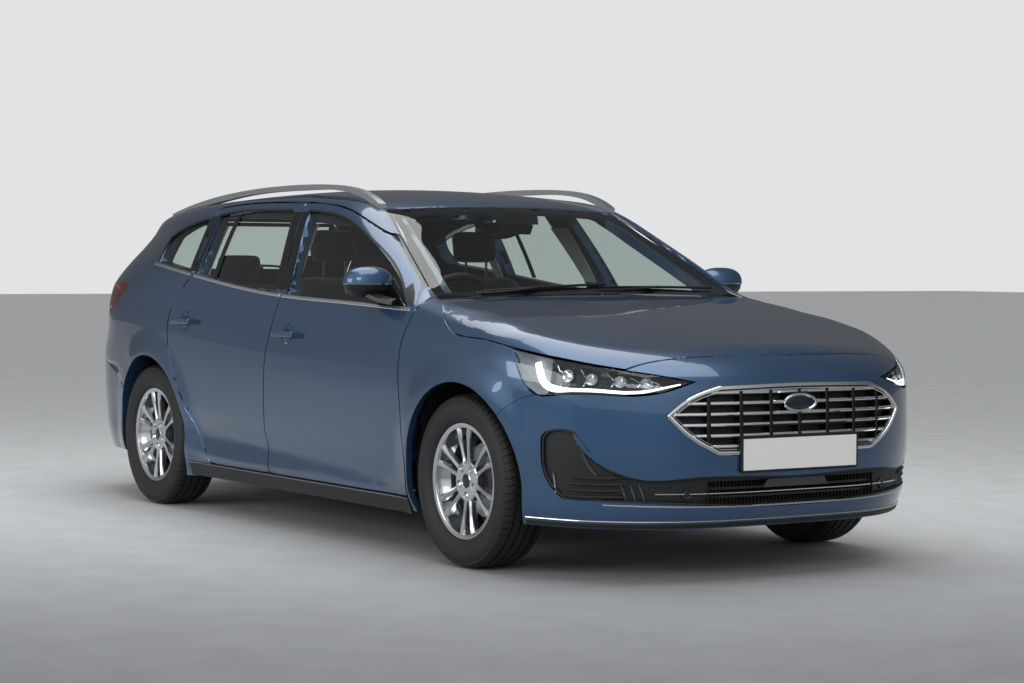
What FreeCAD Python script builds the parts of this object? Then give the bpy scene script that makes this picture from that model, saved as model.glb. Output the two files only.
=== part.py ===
"""Compact five-door station wagon, parked, X forward, Y to its left, Z up, millimetres.

The outer skin is one smooth signed-distance function of the body, made from a side
section, a roof and bonnet line, a nose line and a tail line. Every panel is a curved
slab between two depths below that skin, trimmed by its own shut lines.
"""
import FreeCAD
import Part

import math
import os

V = FreeCAD.Vector

# Driving dimensions, kept in the sheet.
SIZES = [
    ("bodylength", "4668"), ("frontoverhang", "890"), ("wheelbase", "2700"),
    ("halfwidth", "909"), ("roofheight", "1450"), ("sillheight", "182"),
    ("trackfront", "1572"), ("trackrear", "1566"),
    ("tyreradius", "322"), ("tyrewidth", "205"), ("rimradius", "203"),
    ("flangeradius", "216"), ("rimwidth", "165"), ("archradius", "368"),
    ("lugcircle", "54"), ("hubradius", "76"),
    ("discradius", "139"), ("discthickness", "24"),
    ("panelgap", "6.5"), ("skindepth", "25"), ("walldepth", "100"),
    ("pillardepth", "60"), ("framedepth", "45"), ("glassthickness", "5"),
    ("glassrecess", "9"),
    ("roofdepth", "35"), ("hoodthickness", "22"), ("tailgatethickness", "60"),
    ("bumperthickness", "35"), ("kingpinoffset", "695"),
    ("linerclearance", "20"), ("linerthickness", "5"),
    ("platelength", "520"), ("plateheight", "111"), ("platethickness", "4"),
    ("floorthickness", "22"), ("floorheight", "180"), ("bootheight", "450"),
    ("railwidth", "34"), ("railfoot", "12"),
    ("steeringwheelradius", "186"), ("steeringgrip", "15"),
    ("seatwidth", "500"), ("exhaustradius", "26"),
]

doc = FreeCAD.newDocument("StationWagon")
sheet = doc.addObject("Spreadsheet::Sheet", "Sizes")
for row, (alias, value) in enumerate(SIZES, start=1):
    sheet.set("A%d" % row, alias)
    sheet.set("B%d" % row, value)
    sheet.setAlias("B%d" % row, alias)
doc.recompute()
S = {alias: float(sheet.get(alias)) for alias, value in SIZES}

FRONT_END = S["bodylength"] / 2
FRONT_AXLE = FRONT_END - S["frontoverhang"]
REAR_AXLE = FRONT_AXLE - S["wheelbase"]
HUB_HEIGHT = S["tyreradius"]
HALF = S["halfwidth"]

# The drawing's own stations, as first laid out, and where the sheet puts them.
DRAWN = (-2334.0, -1256.0, 1444.0, 2334.0)
PLACED = (-FRONT_END, REAR_AXLE, FRONT_AXLE, FRONT_END)


def station(x):
    """Real X of a station of the drawing, carried along by axles and body ends."""
    for i in range(3):
        if x <= DRAWN[i + 1] or i == 2:
            share = (x - DRAWN[i]) / (DRAWN[i + 1] - DRAWN[i])
            return PLACED[i] + share * (PLACED[i + 1] - PLACED[i])


def spline(knots):
    """Natural cubic curve through knots, straight beyond its ends."""
    xs = [k[0] for k in knots]
    ys = [k[1] for k in knots]
    count = len(xs)
    steps = [xs[i + 1] - xs[i] for i in range(count - 1)]
    lower = [0.0] * count
    middle = [1.0] * count
    upper = [0.0] * count
    right = [0.0] * count
    for i in range(1, count - 1):
        lower[i] = steps[i - 1]
        middle[i] = 2 * (steps[i - 1] + steps[i])
        upper[i] = steps[i]
        right[i] = 6 * ((ys[i + 1] - ys[i]) / steps[i] - (ys[i] - ys[i - 1]) / steps[i - 1])
    for i in range(1, count):
        weight = lower[i] / middle[i - 1]
        middle[i] -= weight * upper[i - 1]
        right[i] -= weight * right[i - 1]
    bend = [0.0] * count
    bend[-1] = right[-1] / middle[-1]
    for i in range(count - 2, -1, -1):
        bend[i] = (right[i] - upper[i] * bend[i + 1]) / middle[i]

    def curve(x):
        if x <= xs[0]:
            slope = (ys[1] - ys[0]) / steps[0] - steps[0] * (2 * bend[0] + bend[1]) / 6
            return ys[0] + slope * (x - xs[0])
        if x >= xs[-1]:
            slope = (ys[-1] - ys[-2]) / steps[-1] + steps[-1] * (bend[-2] + 2 * bend[-1]) / 6
            return ys[-1] + slope * (x - xs[-1])
        low = 0
        high = count - 1
        while high - low > 1:
            mid = (low + high) // 2
            if xs[mid] <= x:
                low = mid
            else:
                high = mid
        after = x - xs[low]
        before = xs[high] - x
        step = steps[low]
        cubic = (bend[low] * before ** 3 + bend[high] * after ** 3) / (6 * step)
        start = (ys[low] / step - bend[low] * step / 6) * before
        end = (ys[high] / step - bend[high] * step / 6) * after
        return cubic + start + end
    return curve


def smooth(a, b, x):
    """Smooth step from 0 at a to 1 at b."""
    share = min(1.0, max(0.0, (x - a) / (b - a)))
    return share * share * (3 - 2 * share)


def rounded_max(a, b, radius):
    """Larger of two distances, the edge between them rounded."""
    if a <= -radius or b <= -radius:
        return max(a, b)
    return math.hypot(a + radius, b + radius) - radius


# Body lines: bonnet and cabin over the middle, belt, half section, nose, tail and door crease.
ROOF = S["roofheight"]
bonnet = spline([(400, 1060), (900, 1012), (1080, 992), (1300, 965), (1500, 937),
                 (1800, 893), (2100, 843), (2271, 806), (2420, 745)])
cabin = spline([(-2400, ROOF - 160), (-2050, ROOF - 98), (-1700, ROOF - 62), (-1300, ROOF - 30),
                (-900, ROOF - 8), (-500, ROOF), (-200, ROOF - 6), (0, ROOF - 20),
                (200, ROOF - 48), (365, ROOF - 90), (548, ROOF - 182), (730, ROOF - 278),
                (894, 1085), (1065, 993), (1250, 890)])
belt = spline([(-2200, 1150), (-1575, 1122), (-1245, 1095), (-661, 1030), (-54, 977),
               (550, 955), (1084, 935), (1600, 925)])
section = spline([(-0.1, HALF - 63), (0, HALF - 57), (0.08, HALF - 37), (0.2, HALF - 29),
                  (0.36, HALF - 16), (0.5, HALF - 6), (0.63, HALF), (0.77, HALF - 3),
                  (0.88, HALF - 16), (0.95, HALF - 32), (1, HALF - 47)])
nose = spline([(100, 2225), (180, 2257), (250, 2295), (330, 2315), (450, 2328), (560, 2329),
               (650, 2326), (700, 2320), (760, 2297), (806, 2266), (900, 2175)])
tail = spline([(100, 2200), (200, 2245), (330, 2312), (500, 2334), (640, 2332), (700, 2318),
               (760, 2288), (900, 2262), (1000, 2238), (1100, 2195), (1200, 2118),
               (1300, 2060), (1380, 2010)])
crease = spline([(-900, 440), (-609, 421), (-91, 391), (625, 362), (952, 336), (1100, 325)])

DRAWN_SILL = S["sillheight"]
GRADIENT_STEP = 2.0
SHOULDER_RADIUS = 55.0
NOSE_RADIUS = 90.0
ARCH_FLARE = 14.0


def top_height(x, y):
    """Height of the bonnet, windscreen or roof at a place in plan."""
    q = (y / 720.0) ** 2
    crown = (12 + 8 * (1 - smooth(300, 700, x)) + 25 * (1 - smooth(-200, 300, x))
             + 15 * (1 - smooth(-600, -200, x)))
    sweep = 30 * smooth(-500, 300, x) - 100 * (1 - smooth(-2000, -1000, x))
    glass = cabin(x + sweep * q) - crown * q
    if x < -200:
        return glass
    hood = bonnet(x + 30 * q) - (6 + 40 * smooth(1500, 2250, x)) * q
    both = 0.5 * (hood + glass + math.hypot(hood - glass, 25))
    share = smooth(-200, 300, x)
    return glass * (1 - share) + both * share


def side_width(x, z):
    """Half width of the body at a place in side view."""
    waist = belt(x)
    if z <= waist:
        y = section((z - DRAWN_SILL) / (waist - DRAWN_SILL))
    else:
        above = z - waist
        y = HALF - 47 - 0.385 * above - 3.0e-4 * above * above
    lean = smooth(waist - 150, waist + 150, z)
    y -= 50 * (max(0.0, x - 1000) / 1000) ** 2
    y -= 75 * (max(0.0, -x - 1100) / 900) ** 2
    y -= (30 * (max(0.0, x) / 1000) ** 2 + 130 * (max(0.0, -x - 700) / 1000) ** 2) * lean
    for axle in (DRAWN[1], DRAWN[2]):
        y += ARCH_FLARE * (1 - smooth(365, 490, math.hypot(x - axle, z - 322)))
    doors = smooth(-1050, -750, x) * (1 - smooth(850, 1080, x))
    y -= 14 * doors * math.exp(-((z - crease(x) + 55) / 48) ** 2)
    return y


def plan_sweep(y):
    """How far nose and tail fall back from the middle at a half width."""
    return 330 * (abs(y) / 800) ** 3.46


def skin(x, y, z):
    """Signed distance to the body's outer skin, negative inside."""
    y = abs(y)
    e = GRADIENT_STEP
    low = max(z, 100.0)
    w = side_width(x, low)
    slope_x = (side_width(x + e, low) - w) / e
    slope_z = (side_width(x, low + e) - w) / e
    side = (y - w) / math.sqrt(1 + slope_x ** 2 + slope_z ** 2)
    yy = min(y, 900.0)
    h = top_height(x, yy)
    slope_x = (top_height(x + e, yy) - h) / e
    slope_y = (top_height(x, yy + e) - h) / e
    distance = rounded_max(side, (z - h) / math.sqrt(1 + slope_x ** 2 + slope_y ** 2),
                           SHOULDER_RADIUS)
    sweep = plan_sweep(y)
    sweep_slope = (plan_sweep(y + e) - sweep) / e
    if x > 0:
        edge = nose(z)
        slope_z = (nose(z + e) - edge) / e
        end = (x - edge + sweep) / math.sqrt(1 + sweep_slope ** 2 + slope_z ** 2)
        return rounded_max(distance, end, NOSE_RADIUS)
    edge = tail(z)
    slope_z = (tail(z + e) - edge) / e
    end = (-x - edge + sweep) / math.sqrt(1 + sweep_slope ** 2 + slope_z ** 2)
    return rounded_max(distance, end, 70 + 60 * smooth(900, 1100, z))


def run_to_skin(origin, direction, depth, reach=1700.0):
    """Length along a ray from inside the body to a depth below the skin."""
    near = 0.0
    far = reach
    f_near = skin(*origin) + depth
    f_far = skin(origin[0] + direction[0] * far, origin[1] + direction[1] * far,
                 origin[2] + direction[2] * far) + depth
    where = far
    side = 0
    for _ in range(40):
        where = (near * f_far - far * f_near) / (f_far - f_near)
        if not near < where < far:
            where = (near + far) / 2
        f = skin(origin[0] + direction[0] * where, origin[1] + direction[1] * where,
                 origin[2] + direction[2] * where) + depth
        if abs(f) < 0.01:
            break
        if f < 0:
            near = where
            f_near = f
            if side == -1:
                f_far /= 2
            side = -1
        else:
            far = where
            f_far = f
            if side == 1:
                f_near /= 2
            side = 1
    return where


def along(origin, direction, run):
    """Point of a ray, carried to the sheet's stations."""
    return V(station(origin[0] + direction[0] * run), origin[1] + direction[1] * run,
             origin[2] + direction[2] * run)


def spread(*stops):
    """Values from stop to stop: each stop is (value, steps to it from the one before)."""
    values = [stops[0][0]]
    for (value, steps) in stops[1:]:
        start = values[-1]
        for i in range(1, steps + 1):
            values.append(start + (value - start) * i / steps)
    return values


def curved_face(rows):
    """Smooth face through rows of points."""
    surface = Part.BSplineSurface()
    surface.interpolate(rows)
    return surface.toShape()


def between(outer, inner):
    """Closed solid between two four-sided faces with matching edges."""
    faces = [outer, inner]
    for a, b in zip(outer.OuterWire.OrderedEdges, inner.OuterWire.OrderedEdges):
        faces.append(Part.makeRuledSurface(a, b))
    shell = Part.makeShell(faces)
    shell.sewShape()
    solid = Part.Solid(shell)
    if solid.Volume < 0:
        solid.reverse()
    return solid


def slab(us, vs, ray, outer, inner, back=False):
    """Curved slab between two depths below the skin, over a grid of rays.

    With back set, the thickness is laid off along each ray and not square to the skin.
    """
    rows = ([], [])
    for u in us:
        for row in rows:
            row.append([])
        for v in vs:
            origin, direction = ray(u, v)
            depths = [depth(u, v) if callable(depth) else depth for depth in (outer, inner)]
            run = run_to_skin(origin, direction, depths[0])
            rows[0][-1].append(along(origin, direction, run))
            if back:
                run -= depths[1] - depths[0]
            else:
                run = run_to_skin(origin, direction, depths[1])
            rows[1][-1].append(along(origin, direction, run))
    return between(curved_face(rows[0]), curved_face(rows[1]))


CORE = 550.0


def side_ray(sign):
    """Rays square to the car's length: u is the station, v the angle over the horizon."""
    def ray(u, v):
        a = math.radians(v)
        return (u, 0.0, CORE), (0.0, sign * math.cos(a), math.sin(a))
    return ray


def top_ray(u, v):
    """Upright rays: u is the station, v the place across."""
    return (u, v, CORE), (0.0, 0.0, 1.0)


NOSE_CORE = 1300.0
TAIL_CORE = -1300.0


def nose_ray(u, v):
    """Level rays about an upright line in the engine bay: u is height, v the bearing."""
    a = math.radians(v)
    return (NOSE_CORE, 0.0, u), (math.cos(a), math.sin(a), 0.0)


def tail_ray(u, v):
    """Level rays about an upright line over the rear axle."""
    a = math.radians(v)
    return (TAIL_CORE, 0.0, u), (-math.cos(a), math.sin(a), 0.0)


def gate_ray(u, v):
    """Rays in upright planes along the car: u is the place across, v the angle."""
    a = math.radians(v)
    return (-1500.0, u, 1000.0), (-math.cos(a), 0.0, math.sin(a))


def mirrored(shape):
    """The same shape on the other side of the car."""
    return shape.mirror(V(0, 0, 0), V(0, 1, 0))


def dense(points, count=40):
    """Places along the smooth curve through flat points."""
    if len(points) == 2:
        return [(points[0][0] + (points[1][0] - points[0][0]) * i / 8,
                 points[0][1] + (points[1][1] - points[0][1]) * i / 8) for i in range(9)]
    line = Part.BSplineCurve()
    line.interpolate([V(a, b, 0) for a, b in points])
    places = line.discretize(count)
    return [(p.x, p.y) for p in places]


def beside(points, inset, extra):
    """Polyline moved to its left by an inset, and drawn on past both ends by an extra length."""
    moved = []
    last = len(points) - 1
    for i, (a, b) in enumerate(points):
        before = points[max(i - 1, 0)]
        after = points[min(i + 1, last)]
        run = math.hypot(after[0] - before[0], after[1] - before[1])
        moved.append((a - inset * (after[1] - before[1]) / run, b + inset * (after[0] - before[0]) / run))
    for end, inner in ((0, 1), (-1, -2)):
        run = math.hypot(moved[end][0] - moved[inner][0], moved[end][1] - moved[inner][1])
        tip = (moved[end][0] + (moved[end][0] - moved[inner][0]) * extra / run,
               moved[end][1] + (moved[end][1] - moved[inner][1]) * extra / run)
        if end == 0:
            moved.insert(0, tip)
        else:
            moved.append(tip)
    return moved


def crossing(first, second):
    """Where the end of one polyline crosses the start of the next, and at which pieces."""
    for i in range(len(first) - 2, -1, -1):
        for j in range(len(second) - 1):
            (ax, ay), (bx, by) = first[i], first[i + 1]
            (cx, cy), (dx, dy) = second[j], second[j + 1]
            cross = (bx - ax) * (dy - cy) - (by - ay) * (dx - cx)
            if abs(cross) < 1e-9:
                continue
            s = ((cx - ax) * (dy - cy) - (cy - ay) * (dx - cx)) / cross
            r = ((cx - ax) * (by - ay) - (cy - ay) * (bx - ax)) / cross
            if 0 <= s <= 1 and 0 <= r <= 1:
                return (ax + s * (bx - ax), ay + s * (by - ay)), i, j
    raise ValueError("the outline's edges do not meet")


def shortened(points, start, end):
    """Polyline less a length at either end."""
    for trim, flip in ((start, False), (end, True)):
        if flip:
            points = points[::-1]
        while trim > 0:
            run = math.hypot(points[1][0] - points[0][0], points[1][1] - points[0][1])
            if run > trim:
                share = trim / run
                points = [(points[0][0] + (points[1][0] - points[0][0]) * share,
                           points[0][1] + (points[1][1] - points[0][1]) * share)] + points[1:]
                break
            trim -= run
            points = points[1:]
        if flip:
            points = points[::-1]
    return points


def resampled(points, count):
    """Evenly spread places along a polyline."""
    runs = [0.0]
    for a, b in zip(points, points[1:]):
        runs.append(runs[-1] + math.hypot(b[0] - a[0], b[1] - a[1]))
    places = []
    piece = 0
    for i in range(count):
        want = runs[-1] * i / (count - 1)
        while piece < len(points) - 2 and runs[piece + 1] < want:
            piece += 1
        share = (want - runs[piece]) / max(runs[piece + 1] - runs[piece], 1e-9)
        places.append((points[piece][0] + (points[piece + 1][0] - points[piece][0]) * share,
                       points[piece][1] + (points[piece + 1][1] - points[piece][1]) * share))
    return places


def outline(edges, inset=0.0, corner=0.0, place=None):
    """Flat face inside a ring of edges that runs anticlockwise, moved in and rounded."""
    place = place or side_place
    count = len(edges)
    insets = inset if isinstance(inset, (list, tuple)) else [inset] * count
    extra = 3 * max(abs(amount) for amount in insets) + 8
    lines = [beside(dense(edge), amount, extra) for edge, amount in zip(edges, insets)]
    corners = [crossing(lines[i], lines[(i + 1) % count]) for i in range(count)]
    pieces = []
    for i in range(count):
        start, _, first = corners[i - 1]
        end, last, _ = corners[i]
        body = lines[i][first + 1:last + 1]
        pieces.append([start] + body + [end])
    shapes = []
    ends = []
    for piece in pieces:
        straight = len(dense(edges[pieces.index(piece)])) == 9
        trimmed = shortened(piece, corner, corner) if corner else piece
        places = resampled(trimmed, 2 if straight else 14)
        ends.append((places[0], places[-1]))
        if straight:
            shapes.append(Part.makeLine(place(*places[0]), place(*places[-1])))
        else:
            line = Part.BSplineCurve()
            line.interpolate([place(a, b) for a, b in places])
            shapes.append(line.toShape())
    if corner:
        for i in range(count):
            bend = Part.BSplineCurve()
            bend.buildFromPoles([place(*ends[i][1]), place(*corners[i][0]),
                                 place(*ends[(i + 1) % count][0])], False, 2)
            shapes.append(bend.toShape())
    return Part.Face(Part.Wire(Part.__sortEdges__(shapes)))


def side_place(x, z):
    """Point of the side view."""
    return V(station(x), 0, z)


def end_place(y, z):
    """Point of the view along the car."""
    return V(0, y, z)


def plan_place(x, y):
    """Point of the plan view."""
    return V(station(x), y, 0)


def through_y(face, sign, start=0.0, end=1100.0):
    """Prism of a side-view outline across one side of the car."""
    prism = face.extrude(V(0, end - start, 0))
    prism.translate(V(0, start, 0))
    if sign < 0:
        prism = mirrored(prism)
    return prism


def through_x(face, start, end):
    """Prism of a front-view outline along the car."""
    prism = face.extrude(V(end - start, 0, 0))
    prism.translate(V(start, 0, 0))
    return prism


def arch_disc(axle, radius, start, end, sign):
    """Round cutter about an axle."""
    disc = Part.makeCylinder(radius, end - start, V(axle, start, HUB_HEIGHT), V(0, 1, 0))
    return disc if sign > 0 else mirrored(disc)


def add(name, shape, place=V(0, 0, 0)):
    """Sub-part whose shape is worked out by the functions above, set at its place."""
    item = doc.addObject("Part::Feature", name)
    item.Label = name
    item.Shape = shape
    item.Placement = FreeCAD.Placement(place, FreeCAD.Rotation())
    PARTS.append(item)
    return item


PARTS = []

GAP = S["panelgap"]
SKIN = S["skindepth"]
WALL = S["walldepth"]
PILLAR = S["pillardepth"]
FRAME = S["framedepth"]

# Door outlines in side view, each ring anticlockwise from its lower front corner upwards.
DOOR_FOOT = 235.0
FRONT_LEAD = [(1068, DOOR_FOOT), (1058, 371), (1041, 565), (1032, 721), (1040, 859), (1043, 948)]
FRONT_TOP = [(1043, 948), (960, 1016), (815, 1110), (505, 1254), (215, 1342), (0, 1368), (-165, 1376)]
SPLIT = [(-165, 1376), (-75, 1150), (-25, 999), (-20, 892), (-55, 763), (-99, 501), (-110, 326),
         (-84, DOOR_FOOT)]
REAR_TOP = [(-165, 1376), (-500, 1381), (-760, 1374), (-905, 1362)]
REAR_TRAIL = [(-905, 1362), (-893, 1260), (-874, 1090), (-935, 990), (-1008, 900), (-1028, 800),
              (-995, 684), (-930, 571), (-807, 416), (-655, DOOR_FOOT)]
DOOR_CORNER = 16.0


def front_door(inset):
    """Front door outline, moved in by an inset."""
    foot = [SPLIT[-1], FRONT_LEAD[0]]
    return outline([FRONT_LEAD, FRONT_TOP, SPLIT, foot], inset, DOOR_CORNER)


def rear_door(inset):
    """Rear door outline, moved in by an inset."""
    lead = SPLIT[::-1]
    foot = [REAR_TRAIL[-1], SPLIT[-1]]
    return outline([lead, REAR_TOP, REAR_TRAIL, foot], inset, DOOR_CORNER)


SILL_LIFT = 16.0
WINDOW_CORNER = 14.0


def over_belt(first, last):
    """Glass line a little over the belt, from one station to another."""
    return [(first + (last - first) * i / 6, belt(first + (last - first) * i / 6) + SILL_LIFT)
            for i in range(7)]


def front_window(inset):
    """Front door's glass opening."""
    low = over_belt(30, 980)
    top = [low[-1], (815, 1072), (505, 1219), (215, 1309), (0, 1334), (-102, 1341)]
    return outline([low, top, [(-102, 1341), (-22, 1150), low[0]]], inset, WINDOW_CORNER)


def rear_window(inset):
    """Rear door's glass opening, main pane and fixed pane in one."""
    low = over_belt(-842, -88)
    lead = [low[-1], (-140, 1150), (-228, 1344)]
    top = [(-228, 1344), (-500, 1347), (-760, 1339), (-862, 1328)]
    return outline([low, lead, top, [(-862, 1328), (-853, 1240), low[0]]], inset, WINDOW_CORNER)


def quarter_window(inset):
    """Glass opening in the body behind the rear door."""
    low = over_belt(-1310, -922)
    return outline([low, [low[-1], (-928, 1210), (-938, 1316)],
                    [(-938, 1316), (-1130, 1285), (-1325, 1232)],
                    [(-1325, 1232), (-1336, 1190), low[0]]], inset, WINDOW_CORNER)


def stations(first, last, steps):
    """Evenly spread values."""
    return [first + (last - first) * i / steps for i in range(steps + 1)]


ROOF_EDGE = HALF - 334.0
WINDSCREEN_TOP = 352.0
WINDSCREEN_BASE = 1064.0
TAILGATE_TOP = -1880.0
ROOF_STATIONS = stations(WINDSCREEN_TOP - 4, TAILGATE_TOP, 26)
ROOF_ACROSS = stations(-1.0, 1.0, 16)


def roof_edge(x):
    """Half width of the roof skin or windscreen, where the body side begins."""
    if x > 340:
        return ROOF_EDGE + 2 + (x - 375) * 0.2413
    if x < -1300:
        return ROOF_EDGE - 75 * (-1300 - x) / 580
    return ROOF_EDGE


def edge_angle(x):
    """Angle from the core line to the roof edge."""
    half = roof_edge(x)
    return math.degrees(math.atan2(top_height(x, half) - CORE, half))


LOW_ANGLE = math.degrees(math.atan2(165 - CORE, HALF - 60))


def side_slab(outer, inner, first=1120.0, beyond=0.0):
    """Right-hand slab of the whole body side, reaching past its edges by an angle if asked."""
    us = [(x, 0.0) for x in stations(first, TAIL_CORE, 36)]
    us += [(TAIL_CORE, 8.0 * i) for i in range(1, 9)]
    shares = spread((0.0, 0), (0.62, 13), (0.8, 6), (1.0, 10))

    def ray(u, v):
        x, bearing = u
        turn = math.radians(bearing)
        low = LOW_ANGLE
        high = edge_angle(min(x, 1040.0))
        if bearing > 0:
            back = TAIL_CORE - math.tan(turn) * ROOF_EDGE
            half = roof_edge(max(back, TAILGATE_TOP))
            back = max(TAIL_CORE - math.tan(turn) * half, -2080.0)
            high = math.degrees(math.atan2(top_height(back, half) - CORE,
                                           math.hypot(TAIL_CORE - back, half)))
            low = math.degrees(math.atan2(165 - CORE, (HALF - 110) / math.cos(turn) * 0.86))
        a = math.radians(low - beyond + (high - low + 2 * beyond) * v)
        return ((x, 0.0, CORE),
                (-math.sin(turn) * math.cos(a), -math.cos(turn) * math.cos(a), math.sin(a)))

    return slab(us, shares, ray, outer, inner)


BELT_SHARE = 0.66


def wall_depth(u, v):
    """Wall thickness: full below the belt, slimmer in the pillars and roof rail."""
    return WALL + (PILLAR - WALL) * smooth(BELT_SHARE - 0.1, BELT_SHARE + 0.1, v)


def door_depth(u, v):
    """Door thickness: whole below the belt, a slim frame round the glass."""
    return WALL + (FRAME - WALL) * smooth(BELT_SHARE - 0.06, BELT_SHARE + 0.04, v)


def panel_depth(u, v):
    """Depth of a door's outer flange."""
    return SKIN + (FLANGE - SKIN) * smooth(BELT_SHARE - 0.06, BELT_SHARE + 0.04, v)


def seat_depth(u, v):
    """Depth at which the body's flange starts behind a door's edge."""
    return panel_depth(u, v) + FLANGE_GAP


FLANGE = 12.0
FLANGE_GAP = 8.0
INSET = 26.0
OVERLAP = 18.0
TRAIL_GAP = 9.0
GATE_GAP = 8.0
SEAM = 0.4
FRONT_HINGE_X = 1020.0
REAR_HINGE_X = -75.0
HINGE_Y = HALF - 2.0

FRONT_STOP = (-93.0, 450.0)
REAR_STOP = (-1017.0, 800.0)

# Tailgate outline seen from behind, rear bumper's top line and lamp in side view.
GATE_EDGE = [(545, 640), (570, 720), (596, 860), (606, 1000), (592, 1120), (548, 1300), (520, 1420)]
BUMPER_TOP = [(-2450, 690), (-2120, 682), (-1900, 650), (-1700, 590), (-1540, 505)]


def gate_outline(inset):
    """Tailgate seen along the car, moved in by an inset."""
    left = [(-y, z) for y, z in reversed(GATE_EDGE)]
    foot = [left[-1], GATE_EDGE[0]]
    roof = [GATE_EDGE[-1], left[0]]
    insets = [inset, 0, inset, inset]
    return outline([GATE_EDGE, roof, left, foot], insets, 0, end_place)


def rear_bumper_region(inset):
    """Side-view region below the bumper's top line."""
    line = BUMPER_TOP[::-1]
    return outline([line, [line[-1], (-2450, 60)], [(-2450, 60), (-1380, 60)], [(-1380, 60), line[0]]],
                   [inset, 0, 0, 0])


def tail_lamp_region(inset):
    """Side-view outline of the lamp at the tail's corner."""
    top = [(-1530, 1012), (-1700, 1030), (-2000, 1040), (-2400, 1035)]
    low = [(-2400, 850), (-2000, 845), (-1800, 870), (-1640, 940), (-1530, 1012)]
    return outline([top, [top[-1], low[0]], low], inset, 5)


def box_yz(sign, y0, y1, z0, z1, x0, x1):
    """Box between stations of the drawing on one side."""
    box = Part.makeBox(station(x1) - station(x0), y1 - y0, z1 - z0, V(station(x0), y0, z0))
    return box if sign > 0 else mirrored(box)


def right_body_side():
    """Right body side: pillars, roof rail, sill and rear quarter in one."""
    wall = side_slab(0.0, wall_depth)
    seat = side_slab(-30.0, seat_depth, 1150.0, 1.5)
    cuts = []
    for door, edge_insets, inner_insets in (
            (front_door, [-GAP] * 4, [-60, OVERLAP, OVERLAP, OVERLAP]),
            (rear_door, [0, -GAP, -TRAIL_GAP, -GAP], [INSET + 60, OVERLAP, OVERLAP, OVERLAP])):
        cuts.append(through_y(door(edge_insets), -1, 300).common(seat))
        cuts.append(through_y(door(inner_insets), -1, 300))
    cuts.append(box_yz(-1, 400, 1100, 222, 925, 1000, 1300))
    cuts.append(box_yz(-1, 745, 1100, 100, 1100, 1043, 1300))
    cuts.append(box_yz(-1, 400, 760, 100, 1100, 1062, 1300))
    cuts.append(arch_disc(REAR_AXLE, S["archradius"], 400, 1100, -1))
    cuts.append(through_y(quarter_window(0), -1, 300))
    cuts.append(through_y(rear_bumper_region(-2), -1, 300))
    cuts.append(through_x(gate_outline(-GATE_GAP), station(-2500), station(TAILGATE_TOP)))
    cuts.append(through_y(tail_lamp_region(0), -1, 300).common(side_slab(-30.0, 60.0)))
    return cut_each(wall, cuts)


def hinge_pillar():
    """Pillar between sill and windscreen base that carries the front door's hinges."""
    pillar = side_slab(WALL + FLANGE_GAP, WALL + PILLAR)
    foot = side_slab(WALL - 40, WALL + PILLAR)
    pillar = box_yz(-1, CABIN_HALF + 6, 1100, 175, 978, 955, 1043).common(pillar)
    return pillar.fuse(box_yz(-1, CABIN_HALF + 6, 1100, 175, DOOR_FOOT - 13, 955, 1043).common(foot))


def cut_each(shape, tools):
    """Shape with each tool taken out in turn."""
    for tool in tools:
        shape = shape.cut(tool)
    return shape


def buffer_block(x, z, wide=12.0, tall=30.0, long=14.0):
    """Rubber stop on the right-hand jamb, just clear of a closed door's flange."""
    face = min(run_to_skin((x + dx, 0.0, z + dz), (0.0, 1.0, 0.0), SKIN + SEAM)
               for dx in (-wide / 2, wide / 2) for dz in (-tall / 2, tall / 2))
    return Part.makeBox(wide, long, tall, V(station(x) - wide / 2, -face, z - tall / 2))


def recess(hinge_x, radius, z0, z1):
    """Round clearance about a door's hinge axis, on the right side."""
    return Part.makeCylinder(radius, z1 - z0, V(station(hinge_x), -HINGE_Y, z0), V(0, 0, 1))


def body_side_pair():
    """Both body sides, with the pillars hollowed where door edges swing in."""
    right = cut_each(right_body_side(), [recess(REAR_HINGE_X, 62, 560, 960),
                                         recess(REAR_HINGE_X, 102, 870, 1120),
                                         recess(FRONT_HINGE_X, 70, 200, 480)])
    roof_half = [-1.004] + ROOF_ACROSS[1:6]
    under_roof = slab(ROOF_STATIONS + [TAILGATE_TOP - 40], roof_half, share_ray,
                      -20.0, S["roofdepth"] + 2 * SEAM)
    under_screen = slab(stations(WINDSCREEN_BASE + 30, WINDSCREEN_TOP - 4, 12), stations(-1.004, -0.3, 6),
                        share_ray, -20.0, 7.0 + 2 * SEAM)
    swing_way = box_yz(-1, 750, 782, 984, 1013, 914, 956)
    roof_corner = box_yz(-1, 470, 509, 1290, 1311, TAILGATE_TOP - 5, TAILGATE_TOP + 65)
    right = cut_each(right, [under_roof, under_screen, swing_way, roof_corner])
    screen_pillar = slab(stations(ROOF_STATIONS[0] + SEAM, 1060.0, 12), stations(-0.995, -0.88, 3),
                         share_ray, 9.0, 50.0)
    buffers = [buffer_block(*place) for place in (FRONT_STOP, REAR_STOP)]
    right = right.fuse([screen_pillar, hinge_pillar().cut(recess(FRONT_HINGE_X, 88, 150, 985))] + buffers)
    right = right.removeSplitter()
    add("body_side_right", right)
    add("body_side_left", mirrored(right))


# Doors.
HANDLE_RISE = 34.0
FRONT_HANDLE = (122.0, 828.0)
REAR_HANDLE = (-850.0, 858.0)


def handle(x, z):
    """Grip and the bowl's rim behind it, on the right side."""
    y = -side_width(x, z)
    grip = Part.makeBox(190, 12, 26, V(station(x) - 95, y - HANDLE_RISE, z - 13))
    grip = grip.makeFillet(5, grip.Edges)
    feet = [Part.makeBox(26, HANDLE_RISE + 6, 20, V(station(x) + shift, y - HANDLE_RISE + 6, z - 10))
            for shift in (-84, 58)]
    return grip.fuse(feet)


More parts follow.
